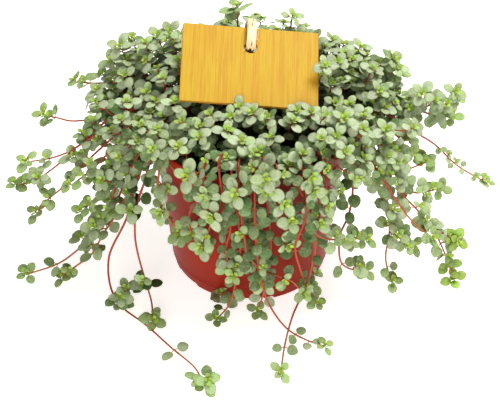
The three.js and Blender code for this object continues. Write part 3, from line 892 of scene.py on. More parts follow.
@dataclass
class Soil:
    """The peat in the pot: a plug with a broken, crumbly top."""

    pot: Pot
    top: float = 96.6
    gap: float = 0.35
    roughness: float = 1.1
    crumbs: int = 420
    crumb_sizes: tuple = (0.6, 2.1)
    clod: float = 9.0  # the size of the surface's bumps
    segments: int = 96

    def height_at(self, x: np.ndarray, y: np.ndarray) -> np.ndarray:
        """Gives the uneven height of the soil's surface at places on it.

        Args:
            x: the places' distances to the right.
            y: their distances to the back.

        Returns:
            The height at each.
        """
        edge = np.hypot(x, y) / self.pot.rim_radius
        spots = zip(np.ravel(x) / self.clod, np.ravel(y) / self.clod)
        bumps = [noise.fractal(Vector((*spot, 0.7)), 0.9, 2.1, 4) for spot in spots]
        return self.top - 1.6 * edge**3 + self.roughness * np.reshape(bumps, np.shape(x))

    def plug(self) -> Shape:
        """Turns the plug and roughens its top.

        Returns:
            The plug.
        """
        pot = self.pot
        inner_foot = pot.ridge_radius - pot.wall - self.gap
        inner_shoulder = pot.shoulder_radius - pot.wall - self.gap
        inner_lip = pot.lip_foot_radius - pot.wall - self.gap
        low = pot.floor_top + self.gap
        points = [(0, low), (inner_foot - 2.6, low), (inner_foot, low + 2.8), (inner_shoulder, pot.lip_foot)]
        points += [(inner_lip, pot.lip_foot + 2.9), (inner_lip, self.top - 4)]
        points += [(inner_lip - share, self.top) for share in np.linspace(0.5, inner_lip - 1.5, 26)]
        points.append((0, self.top))
        shape = lathe(np.array(points, float), self.segments)
        is_top = shape.vertices[:, 2] > self.top - 0.1
        shape.vertices[is_top, 2] = self.height_at(shape.vertices[is_top, 0], shape.vertices[is_top, 1])
        return shape

    def build(self) -> None:
        """Makes the soil, with crumbs half sunk in its surface."""
        rng = np.random.default_rng([SEED, 1])
        radius = (self.pot.lip_foot_radius - 5) * np.sqrt(rng.uniform(0, 1, self.crumbs))
        turn = rng.uniform(0, 2 * math.pi, self.crumbs)
        x, y = radius * np.cos(turn), radius * np.sin(turn)
        centres = np.column_stack([x, y, self.height_at(x, y)])
        ball = lathe(np.array([(0, -1), *arc((0, 0), 1, -60, 60, 5), (0, 1)]), 7)
        size = rng.uniform(*self.crumb_sizes, (self.crumbs, 1, 1))
        size = size * rng.uniform(0.6, 1.1, (self.crumbs, 1, 3))
        dents = rng.uniform(0.75, 1.2, (self.crumbs, len(ball.vertices), 1))
        lumps = (centres[:, None] + ball.vertices[None] * size * dents).reshape(-1, 3)
        shift = np.arange(self.crumbs)[:, None, None] * len(ball.vertices)
        crumbs = Shape(lumps, [(block[None] + shift).reshape(-1, block.shape[1]) for block in ball.faces])
        dress(merge([self.plug(), crumbs]).make("soil_peat"), PeatSoil().make(), Slot.SOIL, "soil")


# ---- Card, tie and cane ----
@dataclass
class Card:
    """The thin pine card that leans back on the crown, with a hole near its top edge."""

    width: float = 86.0
    height: float = 54.0
    thickness: float = 2.4
    corner: float = 1.2
    bevel: float = 0.35
    centre: tuple = (0.0, 0.0, 149.8)
    lean_back: float = 59.1
    swing: float = 12.7
    turn: float = -12.4
    hole_up: float = 13.2
    hole_radius: float = 4.0

    @cached_property
    def axes(self) -> np.ndarray:
        """The card's own axes as rows: along its width, up its face and out of its face."""
        turned = Matrix.Rotation(math.radians(self.swing), 3, "Z")
        turned = turned @ Matrix.Rotation(math.radians(90 - self.lean_back), 3, "X")
        return np.array((turned @ Matrix.Rotation(math.radians(self.turn), 3, "Z")).transposed())

    def place(self, local: np.ndarray) -> np.ndarray:
        """Takes points from the card's own frame to the object's."""
        return np.asarray(local, float) @ self.axes + np.array(self.centre)

    def local(self, points: np.ndarray) -> np.ndarray:
        """Takes points from the object's frame to the card's own."""
        return (points - np.array(self.centre)) @ self.axes.T

    def outline(self) -> np.ndarray:
        """Draws the card's edge with its round corners, anticlockwise.

        Returns:
            Its points in the card's plane.
        """
        points = []
        for x, y, start in ((1, -1, -90), (1, 1, 0), (-1, 1, 90), (-1, -1, 180)):
            centre = (x * (self.width / 2 - self.corner), y * (self.height / 2 - self.corner))
            points += arc(centre, self.corner, start, start + 90, 5)
        corners = np.array(points)
        dense = []
        for here, after in zip(corners, np.roll(corners, -1, axis=0)):
            steps = max(1, round(np.linalg.norm(after - here) / 2.2))
            dense += [here + (after - here) * step / steps for step in range(steps)]
        return np.array(dense)

    def build(self) -> None:
        """Makes the card as one band of rings: over the face, round the edge, back and through the hole."""
        outline = self.outline()
        middle = np.array([0, self.hole_up])
        spokes = unit(outline - middle)
        hole = middle + spokes * self.hole_radius
        half, bevel = self.thickness / 2, self.bevel
        rows = []

        def ring(share: float, inset: float, depth: float, edge: float) -> None:
            """Adds one ring between the hole and the outline.

            Args:
                share: its place, from 0 at the hole to 1 at the outline.
                inset: how far it lies inside that place, for the bevel.
                depth: its height over the card's middle plane.
                edge: its value of "card_edge", 1 on the cut edges.
            """
            flat = hole + (outline - hole) * share
            flat = flat - np.sign(share - 0.5) * spokes * inset
            rows.append(np.column_stack([flat, np.full(len(flat), depth), np.full(len(flat), edge)]))

        shares = np.linspace(0, 1, 12)
        for share in shares:
            ring(share, bevel if share in (0, 1) else 0, half, 0.0)
        ring(1, 0, half - bevel, 1.0)
        ring(1, 0, -half + bevel, 1.0)
        for share in shares[::-1]:
            ring(share, bevel if share in (0, 1) else 0, -half, 0.0)
        ring(0, 0, -half + bevel, 1.0)
        ring(0, 0, half - bevel, 1.0)
        net = np.vstack(rows)
        wood = Shape(
            self.place(net[:, :3]),
            [grid_faces(len(rows), len(outline), loop_rows=True)[:, ::-1]],
            {"card_place": net[:, :3], "card_edge": net[:, 3]},
        )
        dress(wood.make("label_card_pine", sharp=30), SawnPine().make(), Slot.CARD, "label_card")


@dataclass
class Tie:
    """The raffia: strands twisted through the card's hole and over its top edge, wound on the cane behind."""

    card: Card
    strands: int = 5
    half_width: float = 2.1
    half_depth: float = 0.6
    strand_radius: float = 1.15
    turns: float = 0.85
    sides: int = 9
    collar_strands: int = 2
    collar_turns: float = 3.2
    collar_foot: float = 154.8
    collar_rise: float = 3.9
    collar_radius: float = 0.95
    fray_points: int = 12

    def centreline(self) -> np.ndarray:
        """Gives the loop's middle in the card's frame: through the hole, over the edge, down behind.

        Returns:
            Points along it.
        """
        face = self.card.thickness / 2
        hole, edge = self.card.hole_up, self.card.height / 2
        route = [
            (0, hole - 0.6, -0.6), (0, hole - 0.9, face + 0.5), (0, hole + 1.6, face + 2.6),
            (0, hole + 7, face + 4.1), (0, edge - 2, face + 4.0), (0, edge + 4.2, face + 1.4),
            (0, edge + 6.6, -face - 1.6), (0, edge + 4.2, -face - 5.2), (0, edge - 2, -face - 4.6),
            (0, hole + 6, -face - 2.4), (0, hole + 0.6, -0.9),
        ]
        return smooth_path(route, 0.8)

    def fibre_places(self, shape: Shape, count: int, steps: int, length: float) -> Shape:
        """Gives each vertex its place on its strand, in the pattern's millimetres.

        Args:
            shape: the strands, whose value "run" turns into "fibre_place".
            count: how many strands there are.
            steps: how many rings each has.
            length: a strand's length.

        Returns:
            The same shape.
        """
        size = len(shape.vertices) // count
        sides = (size - 2) // steps
        round_it = np.concatenate([np.tile(np.arange(sides) * 0.7, steps), [0, 0]])
        number = np.repeat(np.arange(count), size) * 7.3
        run = shape.values.pop("run") * length
        shape.values["fibre_place"] = np.column_stack([np.tile(round_it, count), run * 0.05, number])
        return shape

    def loop(self, rng: np.random.Generator) -> Shape:
        """Makes the twisted strands of the loop.

        Args:
            rng: the source of chance.

        Returns:
            The strands.
        """
        line = self.centreline()
        along = unit(np.gradient(line, axis=0))
        wide = np.tile([1.0, 0.0, 0.0], (len(line), 1))
        deep = np.cross(along, wide)
        share = np.linspace(0, 1, len(line))
        paths, radii = [], []
        for strand in range(self.strands):
            turn = 2 * math.pi * (strand / self.strands + self.turns * share) + rng.uniform(-0.2, 0.2)
            wander = 0.25 * np.sin(share * 17 + strand * 2.1)
            path = line + wide * (self.half_width * np.cos(turn) + wander)[:, None]
            paths.append(self.card.place(path + deep * (self.half_depth * np.sin(turn))[:, None]))
            pinch = 1 - 0.35 * np.exp(-((share / 0.09) ** 2)) - 0.35 * np.exp(-(((1 - share) / 0.09) ** 2))
            radii.append(self.strand_radius * pinch * (1 + 0.12 * np.sin(share * 23 + strand)))
        shape = tubes(np.array(paths), np.array(radii), self.sides, flat=0.62)
        return self.fibre_places(shape, self.strands, len(line), path_length(line))

    def collar(self, stake: "Stake", rng: np.random.Generator) -> Shape:
        """Makes the turns of raffia wound on the cane.

        Args:
            stake: the cane.
            rng: the source of chance.

        Returns:
            The turns.
        """
        count = self.collar_strands
        share = np.linspace(0, 1, 90)
        paths = []
        for strand in range(count):
            turn = 2 * math.pi * self.collar_turns * share + strand * 2.4
            reach = stake.radius + 0.9 + 0.5 * strand + 0.25 * np.sin(share * 19 + strand)
            height = self.collar_foot + self.collar_rise * share + 0.35 * np.sin(share * 11 + 2 * strand)
            paths.append(np.column_stack([reach * np.cos(turn), stake.y + reach * np.sin(turn), height]))
        radii = np.full((count, len(share)), self.collar_radius) * (1 + 0.1 * rng.uniform(-1, 1, (count, 1)))
        shape = tubes(np.array(paths), radii, self.sides, flat=0.6)
        return self.fibre_places(shape, count, len(share), 60.0)

    def frays(self, rng: np.random.Generator) -> Shape:
        """Makes the loose fibres that stand off the loop in front of the card.

        Args:
            rng: the source of chance.

        Returns:
            The fibres.
        """
        face = self.card.thickness / 2
        hole = self.card.hole_up
        ends = (
            (-5.6, hole - 4.2, face + 0.9), (3.9, hole + 8.5, face + 5.2), (4.6, hole + 3.2, face + 3.4),
            (5.4, hole + 12.0, face + 5.6), (-3.6, hole + 15.5, face + 6.2), (3.0, hole - 2.6, face + 1.6),
        )
        paths = []
        for index, end in enumerate(ends):
            start = np.array([0.6 * np.sign(end[0]), hole + (0 if index == 0 else 2.5 * index), face + 1.6])
            bow = np.array([0, 0, 0.4]) if index == 0 else rng.uniform(-1.3, 1.3, 3)
            route = [start, (start + np.array(end)) / 2 + bow, np.array(end)]
            paths.append(np.array(smooth_path(route, 1.0)))
        count = self.fray_points
        even = [path[np.linspace(0, len(path) - 1, count).round().astype(int)] for path in paths]
        radii = np.tile(np.linspace(0.17, 0.07, count), (len(even), 1))
        shape = tubes(np.array([self.card.place(path) for path in even]), radii, 5)
        return self.fibre_places(shape, len(even), count, 6.0)

    def build(self, stake: "Stake") -> None:
        """Makes the tie, its collar on the cane and its frayed ends.

        Args:
            stake: the cane.
        """
        rng = np.random.default_rng([SEED, 2])
        whole = merge([self.loop(rng), self.collar(stake, rng), self.frays(rng)])
        dress(whole.make("label_tie_raffia", sharp=60), PlantFibre().make(), Slot.RAFFIA, "label_tie")


@dataclass
class Stake:
    """The bamboo cane that stands in the soil and holds the card's tie."""

    radius: float = 2.0
    y: float = 27.8
    foot: float = 22.0
    top: float = 163.0
    point: float = 12.0
    knots: tuple = (58.0, 104.0, 143.0)

    def build(self) -> None:
        """Makes the cane with its raised knots and cut top."""
        slim = self.radius - 0.15
        points = [(0, self.foot), (self.radius * 0.35, self.foot + 1.5), (slim, self.foot + self.point)]
        for knot in self.knots:
            points += [(slim, knot - 5), (slim, knot - 1.6), (self.radius, knot - 0.7), (slim - 0.2, knot)]
            points += [(self.radius - 0.05, knot + 0.6), (slim, knot + 1.6)]
        points += [(slim, self.top - 0.4), (slim - 0.35, self.top), (slim - 0.8, self.top)]
        points += [(slim - 0.9, self.top - 0.8), (0, self.top - 0.8)]
        shape = lathe(np.array(points, float), 20)
        x, y, z = shape.vertices.T
        turn = np.arctan2(y, x)
        shape.values["fibre_place"] = np.column_stack([np.cos(turn) * 2, np.sin(turn) * 2, z * 0.04])
        shape.vertices = shape.vertices + np.array([0, self.y, 0])
        bamboo = PlantFibre(
            name="bamboo_split_and_dried", roughness=0.38, line=0.5,
            light="#E2C684", middle="#CFAA66", dark="#A57C44", depth=0.08,
        )
        dress(shape.make("label_stake_bamboo"), bamboo.make(), Slot.BAMBOO, "label_stake")


# ---- Leaves and stems ----
@dataclass(frozen=True)
class BladeNet:
    """A net of points that leaf blades share: a disc of spokes and rings, above and below one rim."""

    spokes: int
    rings: tuple
    fullness: tuple

    @cached_property
    def points(self) -> np.ndarray:
        """Each point's distance from the middle, angle from the tip, side and share of the thickness."""
        turns = np.arange(self.spokes) * 2 * math.pi / self.spokes
        disc = [(0.0, 0.0, 1.0, self.fullness[0])]
        for ring, full in zip(self.rings, self.fullness[1:]):
            disc += [(ring, turn, 1.0, full) for turn in turns]
        rim = [(1.0, turn, 0.0, 0.0) for turn in turns]
        under = [(out, turn, -1.0, full) for out, turn, _, full in disc]
        return np.array([*disc, *rim, *under])

    @cached_property
    def faces(self) -> tuple[np.ndarray, np.ndarray]:
        """The net's triangles, and 1 for each triangle of the underside."""
        spokes, rings = self.spokes, len(self.rings)
        ring = np.arange(spokes)
        beside = (ring + 1) % spokes
        rim = 1 + rings * spokes

        def half(middle: int, starts: list) -> np.ndarray:
            """Lists one side's triangles, from its middle point out to the rim.

            Args:
                middle: the middle point's number.
                starts: the number that each ring starts with.

            Returns:
                Three numbers for each triangle.
            """
            listed = [np.column_stack([np.full(spokes, middle), starts[0] + ring, starts[0] + beside])]
            for near, far in zip(starts, starts[1:]):
                listed.append(np.column_stack([near + ring, far + ring, far + beside]))
                listed.append(np.column_stack([near + ring, far + beside, near + beside]))
            return np.vstack(listed)

        upper = half(0, [1 + index * spokes for index in range(rings)] + [rim])
        below = rim + spokes
        lower = half(below, [below + 1 + index * spokes for index in range(rings)] + [rim])[:, ::-1]
        return np.vstack([upper, lower]), np.repeat([0, 1], [len(upper), len(lower)])


WIDE_NET = BladeNet(spokes=14, rings=(0.45, 0.86), fullness=(1.0, 0.92, 0.6))
SMALL_NET = BladeNet(spokes=8, rings=(0.6,), fullness=(1.0, 0.8))
SMALL_LEAF = 3.4  # leaves shorter than this take the small net
LEAF_LENGTH = 7.9  # of a grown leaf on a stem
LEAF_BREADTH = 0.92  # as a share of its length
GROWN_AGE = 0.5  # past this age a leaf may look old early
EARLY_SHARE = 0.07  # the share of leaves that do
EARLY_AGE = 0.84  # the age that they look
RED_AGE = 0.66  # from this age a petiole is reddish
PETIOLE_RADII = (0.42, 0.33, 0.3, 0.2)
PETIOLE_SIDES = 5
STEM_SIDES = 7
NEAR_POT = 10.0  # leaves nearer to the pot's skin than this don't point into it
NEAR_GROUND = 12.0  # leaves lower than this lie flatter
LONG_SPROUT = 8.0  # side shoots longer than this bear a pair of leaves below the rosette
SPROUT_NODE = 6.0  # that pair's distance from the tip


@dataclass(frozen=True)
class LeafPair:
    """One pair of opposite leaves in a rosette of size 1."""

    length: float
    elevation: float  # in degrees over the rosette's plane
    height: float  # above the stem's end
    petiole: float
    age: float


ROSETTE = (
    LeafPair(8.1, -4, 0.0, 2.7, 0.72),
    LeafPair(7.3, 12, 1.2, 1.8, 0.62),
    LeafPair(4.2, 32, 1.9, 0.9, 0.26),
    LeafPair(3.0, 44, 2.5, 0.6, 0.06),
    LeafPair(1.7, 66, 2.9, 0.2, 0.0),
)
SIDE_ROSETTE = (
    LeafPair(5.8, 8, 0.0, 1.3, 0.55),
    LeafPair(3.4, 34, 0.9, 0.7, 0.18),
    LeafPair(2.0, 54, 1.4, 0.3, 0.0),
)


@dataclass
class Blade:
    """One leaf's place and form. age is 0 when it opens, about 0.7 when grown and 1 when old."""

    base: np.ndarray
    direction: np.ndarray
    normal: np.ndarray
    length: float
    width: float
    age: float
    cup: float
    fold: float
    wave: float
    chance: float


@dataclass
class StemRun:
    """One stem's points, its radius at the root and the tip, and how young its skin is there, from 0 to 1."""

    path: np.ndarray
    thick: float
    thin: float
    old: float
    young: float


@dataclass
class Surroundings:
    """What leaves and stems keep clear of: the pot, the card and the ground."""

    pot: Pot
    card: Card
    ground: float = 0.45
    gap: float = 0.55
    band: float = 9.0  # how deep in the pot's wall a point is still moved out
    card_edge: float = 0.6  # how far past the card's outline a point still keeps off it

    def off_pot(self, points: np.ndarray) -> np.ndarray:
        """Moves points that are in the pot's wall out to its skin, and points under the ground up to it.

        Args:
            points: the points.

        Returns:
            The moved points.
        """
        moved = points.copy()
        radius = np.maximum(np.hypot(points[..., 0], points[..., 1]), 1e-6)
        skin = self.pot.skin_radius(points[..., 2]) + self.gap
        low = points[..., 2] < self.pot.height + self.gap
        grip = low & (radius < skin) & (radius > skin - self.band)
        scale = np.where(grip, skin / radius, 1.0)
        moved[..., 0] *= scale
        moved[..., 1] *= scale
        moved[..., 2] = np.maximum(moved[..., 2], self.ground)
        return moved

    def off_card(self, points: np.ndarray) -> np.ndarray:
        """Keeps each row of points wholly in front of the card or wholly behind it.

        Args:
            points: one row of points for each leaf.

        Returns:
            The points, moved square to the card where they were too near or on the other side of it.
        """
        local = self.card.local(points)
        half = self.card.thickness / 2 + self.gap
        wide = np.abs(local[..., 0]) < self.card.width / 2 + self.card_edge
        high = np.abs(local[..., 1]) < self.card.height / 2 + self.card_edge
        is_front = local[..., 2].mean(axis=-1, keepdims=True) > 0
        kept = np.where(is_front, np.maximum(local[..., 2], half), np.minimum(local[..., 2], -half))
        local[..., 2] = np.where(wide & high, kept, local[..., 2])
        return self.card.place(local)

    def light(self, point: np.ndarray) -> np.ndarray:
        """Gives the way that leaves turn at a point.

        They look up and a little to the front. Where they trail down the pot they also look outward, most in
        front and behind, and those on the right look to the front.

        Args:
            point: the point.

        Returns:
            The direction.
        """
        reach = math.hypot(point[0], point[1])
        outward = np.array([point[0], point[1], 0.0]) / max(reach, 1.0)
        trailing = smooth_step(reach, 35, 80) * smooth_step(point[2], 2, 30)
        aside = (0.03 + 0.72 * abs(outward[1])) * trailing
        ahead = 0.2 + 0.35 * max(0.0, outward[0]) * trailing
        return unit(outward * aside + UP * 0.75 + FRONT * ahead)


@dataclass
class Foliage:
    """Gathers the leaves, petioles and stems of one node, and makes its two pieces."""

    around: Surroundings
    rng: np.random.Generator
    thickness: float = 0.42
    blades: list = field(default_factory=list)
    petioles: list = field(default_factory=list)
    stems: list = field(default_factory=list)

    def vary(self, middle: float, spread: float) -> float:
        """Draws a number that is at most the spread away from the middle."""
        return float(middle + spread * self.rng.uniform(-1, 1))

    def add_leaf(self, root: np.ndarray, base: np.ndarray, axes: tuple, length: float, age: float) -> None:
        """Adds a leaf on its petiole.

        Args:
            root: where the petiole leaves the stem.
            base: where the blade starts.
            axes: the way from the blade's base to its tip, and the way that its upper side faces, roughly.
            length: the blade's length.
            age: from 0, just open, to 1, old.
        """
        direction, normal = axes
        roll = unit(np.cross(normal, direction)) * self.vary(0, 0.22)
        normal = unit(normal + roll)
        normal = unit(normal - direction * (normal @ direction))
        if age > GROWN_AGE and self.rng.uniform() < EARLY_SHARE:
            age = max(age, EARLY_AGE)
        blade = Blade(
            base, direction, normal, length,
            width=length * self.vary(LEAF_BREADTH, 0.09),
            age=age + self.vary(0, 0.04),
            cup=self.vary(-0.1, 0.22),
            fold=self.vary(0.03, 0.05),
            wave=self.vary(0, 0.035),
            chance=self.rng.uniform(),
        )
        self.blades.append(blade)
        bow = (root + base) / 2 - normal * 0.12 * np.linalg.norm(base - root)
        tip = base + direction * length * 0.14 - normal * 0.1
        self.petioles.append((np.array([root, bow, base, tip]), 0.95 if age < RED_AGE else 0.76))

    def add_rosette(
        self, point: np.ndarray, facing: np.ndarray, size: float, youth: float = 0.0, pairs: tuple = ROSETTE
    ) -> None:
        """Adds a rosette of crossed leaf pairs at the end of a stem.

        Args:
            point: the stem's end.
            facing: the way that the rosette looks.
            size: its size, 1 for a full one.
            youth: how much younger than usual its leaves are, from 0 to 1.
            pairs: its pairs of leaves, from the outermost in.
        """
        facing = unit(unit(facing) + self.rng.uniform(-0.22, 0.22, 3))
        first, second = across(facing)
        spin = self.vary(90, 90)
        for order, pair in enumerate(pairs):
            for half in (0, 180):
                turn = math.radians(spin + 90 * order + half + self.vary(0, 13))
                rise = math.radians(pair.elevation + self.vary(0, 10))
                out = math.cos(turn) * first + math.sin(turn) * second
                direction = math.cos(rise) * out + math.sin(rise) * facing
                root = point + facing * pair.height * size
                base = root + unit(out * 0.85 + facing * 0.5) * pair.petiole * size * self.vary(1, 0.2)
                length = pair.length * size * self.vary(1, 0.11)
                self.add_leaf(root, base, (direction, facing), length, pair.age * (1 - youth))

    def add_sprout(
        self, point: np.ndarray, tip: np.ndarray, size: float, youth: float, pairs: tuple = ROSETTE
    ) -> None:
        """Adds a side shoot that grows from a leaf's axil and ends in a rosette.

        Args:
            point: the axil.
            tip: the side shoot's end.
            size: its leaves' size.
            youth: how much younger than usual its leaves are.
            pairs: its rosette's pairs of leaves.
        """
        tip = self.around.off_pot(tip)
        light = self.around.light(tip)
        length = float(np.linalg.norm(tip - point))
        bend = (point + tip) / 2 - light * 0.15 * length
        path = smooth_path([point, bend, tip], 2.0)
        self.stems.append(StemRun(path, thick=0.42, thin=0.34, old=0.55, young=0.85))
        if length > LONG_SPROUT:
            node = path[-1 - round(len(path) * SPROUT_NODE / length)]
            self.add_node(node, unit(tip - bend), size, 0.7 * (1 - youth))
        self.add_rosette(tip, unit(tip - bend) * 0.5 + light, size, youth, pairs)

    def add_node(
        self, point: np.ndarray, along: np.ndarray, size: float, age: float,
        sprouting: float = 0.0, bushy: float = 0.0, turn: float | None = None,
    ) -> None:
        """Adds a pair of leaves at a node of a stem, and maybe a side shoot in one axil.

        Args:
            point: the node.
            along: the way that the stem runs there.
            size: the leaves' size, 1 for full ones.
            age: the leaves' age.
            sprouting: the chance of a side shoot.
            bushy: the share of side shoots that are long and have a full rosette.
            turn: the pair's turn about the stem in degrees, or None for any.
        """
        light = self.around.light(point)
        level, upright = across(along)
        outward = unit(np.array([point[0], point[1], 0.0]))
        room = math.hypot(point[0], point[1]) - float(self.around.pot.skin_radius(point[2]))
        is_near = room < NEAR_POT and point[2] < self.around.pot.height
        turn = self.vary(90, 90) if turn is None else turn
        turned = np.cross(light, along)
        for half in (0, 180):
            spin = math.radians(turn + half + self.vary(0, 14))
            beside = math.cos(spin) * level + math.sin(spin) * upright
            direction = beside * 0.85 + along * self.vary(0.3, 0.15) + turned * self.vary(0, 0.35)
            direction = unit(direction - light * (direction @ light) * 0.75 + light * self.vary(0.05, 0.22))
            if is_near and direction @ outward < 0.1:
                direction = unit(direction - outward * (direction @ outward - 0.12))
            if point[2] < NEAR_GROUND:
                direction = unit(direction * np.array([1, 1, 0.25]))
            base = point + direction * self.vary(2.2, 0.6) * size + light * 0.5
            normal = unit(light + self.rng.uniform(-0.4, 0.4, 3))
            self.add_leaf(point, base, (direction, normal), LEAF_LENGTH * size * self.vary(1, 0.12), age)
        if self.rng.uniform() >= sprouting:
            return
        heading = unit(light + (math.cos(spin) * level + math.sin(spin) * upright) * 0.6 + along * 0.35)
        youth = max(0.0, 1 - age / 0.6)
        if self.rng.uniform() < bushy:
            length, spread, pairs = (11, 3.5), 0.1, ROSETTE
        else:
            length, spread, pairs = (4.2, 1.2), 0.15, SIDE_ROSETTE
        tip = point + heading * self.vary(*length) * size
        self.add_sprout(point, tip, size * self.vary(0.95, spread), youth, pairs)

    def leaves_shape(self) -> Shape:
        """Makes all blades, each from the net that suits its length.

        Returns:
            The blades.
        """
        shapes = []
        cells = math.ceil(math.sqrt(len(self.blades)))
        small = [blade for blade in self.blades if blade.length < SMALL_LEAF]
        large = [blade for blade in self.blades if blade.length >= SMALL_LEAF]
        for net, blades, first in ((WIDE_NET, large, 0), (SMALL_NET, small, len(large))):
            if blades:
                shapes.append(self.blades_shape(net, blades, first, cells))
        return merge(shapes)

    def blades_shape(self, net: BladeNet, blades: list, first: int, cells: int) -> Shape:
        """Makes blades from one net, bent, kept clear of the surroundings and then given their thickness.

        Args:
            net: the net of points.
            blades: the blades.
            first: the number of the first blade in the map.
            cells: how many cells the map has along a side.

        Returns:
            The blades as closed bodies.
        """
        out, turn, side, full = net.points.T
        faces, is_under = net.faces
        point_along = 0.5 + 0.5 * out * np.cos(turn) + 0.03 * (out > 0.99) * (np.cos(turn) > 0.99)
        point_aside = out * np.sin(turn)
        count = len(blades)
        of_all = {}
        for name in Blade.__annotations__:
            of_all[name] = np.array([getattr(blade, name) for blade in blades])[:, None]
        length, normal = of_all["length"], of_all["normal"]
        curve = (2 * point_along - 1) ** 2 + point_aside**2 - 1
        ripple = np.sin(3 * turn[None] + 6.3 * of_all["chance"]) * out**2
        bent = of_all["cup"] * 0.3 * curve + of_all["fold"] * np.abs(point_aside) + of_all["wave"] * ripple
        half_width = of_all["width"] * 0.5 * point_aside * (1 - 0.1 * np.cos(turn))
        middle = (
            of_all["base"]
            + of_all["direction"] * (length * point_along)[..., None]
            + np.cross(normal, of_all["direction"]) * half_width[..., None]
            + normal * (length * bent)[..., None]
        )
        middle = self.around.off_card(self.around.off_pot(middle))
        thick = np.minimum(self.thickness, 0.085 * length) * 0.5 * side * full
        vertices = middle + normal * thick[..., None]
        place = np.tile(np.column_stack([point_along, point_aside, out]), (count, 1))
        tone = np.stack(np.broadcast_arrays(of_all["age"], of_all["chance"], side[None]), axis=-1)
        shift = np.arange(count)[:, None, None] * len(out)
        # Each blade has a cell in the map: its upper side in the left half, its underside in the right.
        number = (first + np.arange(count))[:, None, None]
        corners = np.column_stack([point_along, point_aside])[faces]
        u = 0.25 + 0.5 * is_under[:, None] + 0.44 * (corners[..., 0] - 0.5)
        v = 0.5 + 0.46 * corners[..., 1]
        bake = np.stack([(u[None] + number % cells) / cells, (v[None] + number // cells) / cells], axis=-1)
        return Shape(
            vertices.reshape(-1, 3),
            [(faces[None] + shift).reshape(-1, 3)],
            {"leaf_place": place, "leaf_tone": tone.reshape(-1, 3)},
            bake.reshape(-1, 2),
        )

    def stems_shape(self) -> Shape:
        """Makes the stems and petioles, with the value "youth" from 0, old brown darkened to near-black as
        painted shade, to 1, young green.

        Returns:
            The stems and petioles.
        """
        parts = []
        for stem in self.stems:
            radii = np.linspace(stem.thick, stem.thin, len(stem.path))
            shape = tubes(self.around.off_pot(stem.path)[None], radii[None], STEM_SIDES)
            shape.values["youth"] = stem.old + (stem.young - stem.old) * shape.values.pop("run")
            parts.append(shape)
        if self.petioles:
            paths, youths = zip(*self.petioles)
            radii = np.tile(PETIOLE_RADII, (len(paths), 1))
            shape = tubes(self.around.off_pot(np.array(paths)), radii, PETIOLE_SIDES)
            run = shape.values.pop("run")
            shape.values["youth"] = np.repeat(youths, len(run) // len(youths)) + 0.1 * run
            parts.append(shape)
        return merge(parts)

    def build(self, node: str, leaf: bpy.types.Material, stem: bpy.types.Material) -> None:
        """Makes the node's two pieces.

        Args:
            node: the CAD node that they stand for.
            leaf: the leaves' material.
            stem: the stems' material.
        """
        dress(self.stems_shape().make(f"{node}_stems", sharp=80), stem, Slot.STEM, node)
        dress(self.leaves_shape().make(f"{node}_leaves", sharp=70), leaf, Slot.LEAF, node)


@dataclass(frozen=True)
class Shoot:
    """One trailing shoot, as a given route.

    crest is the angle and height at which it crosses the rim, and route goes on from there to its tip. A
    shoot that stands up has no crest, and its root is where it stands in the soil. fork is a side shoot that
    leaves the route at the point numbered fork_from. nodes lists distances back from the tip at which a node
    stands. Beyond leafy_from nodes follow one another evenly, by spacing, up to the crown. sprouting and
    bushy are as for Foliage.add_node. tender says how far, from 0 to 1, the leaves on the last young
    millimetres are younger than the rest and so lighter.
    """

    crest: tuple
    route: tuple
    root: tuple = ()
    fork: tuple = ()
    fork_from: int = 0
    nodes: tuple = ()
    leafy_from: float = 10.0
    spacing: float = 11.0
    sprouting: float = 0.8
    bushy: float = 0.35
    size: float = 1.0
    age: float = 0.56
    young: float = 16.0
    tender: float = 0.4


@dataclass(frozen=True)
class FrontShoot(Shoot):
    """A shoot in front of the pot, whose leaves are smaller, older and further apart."""

    spacing: float = 12.5
    sprouting: float = 0.25
    bushy: float = 0.0
    size: float = 0.86
    age: float = 0.77


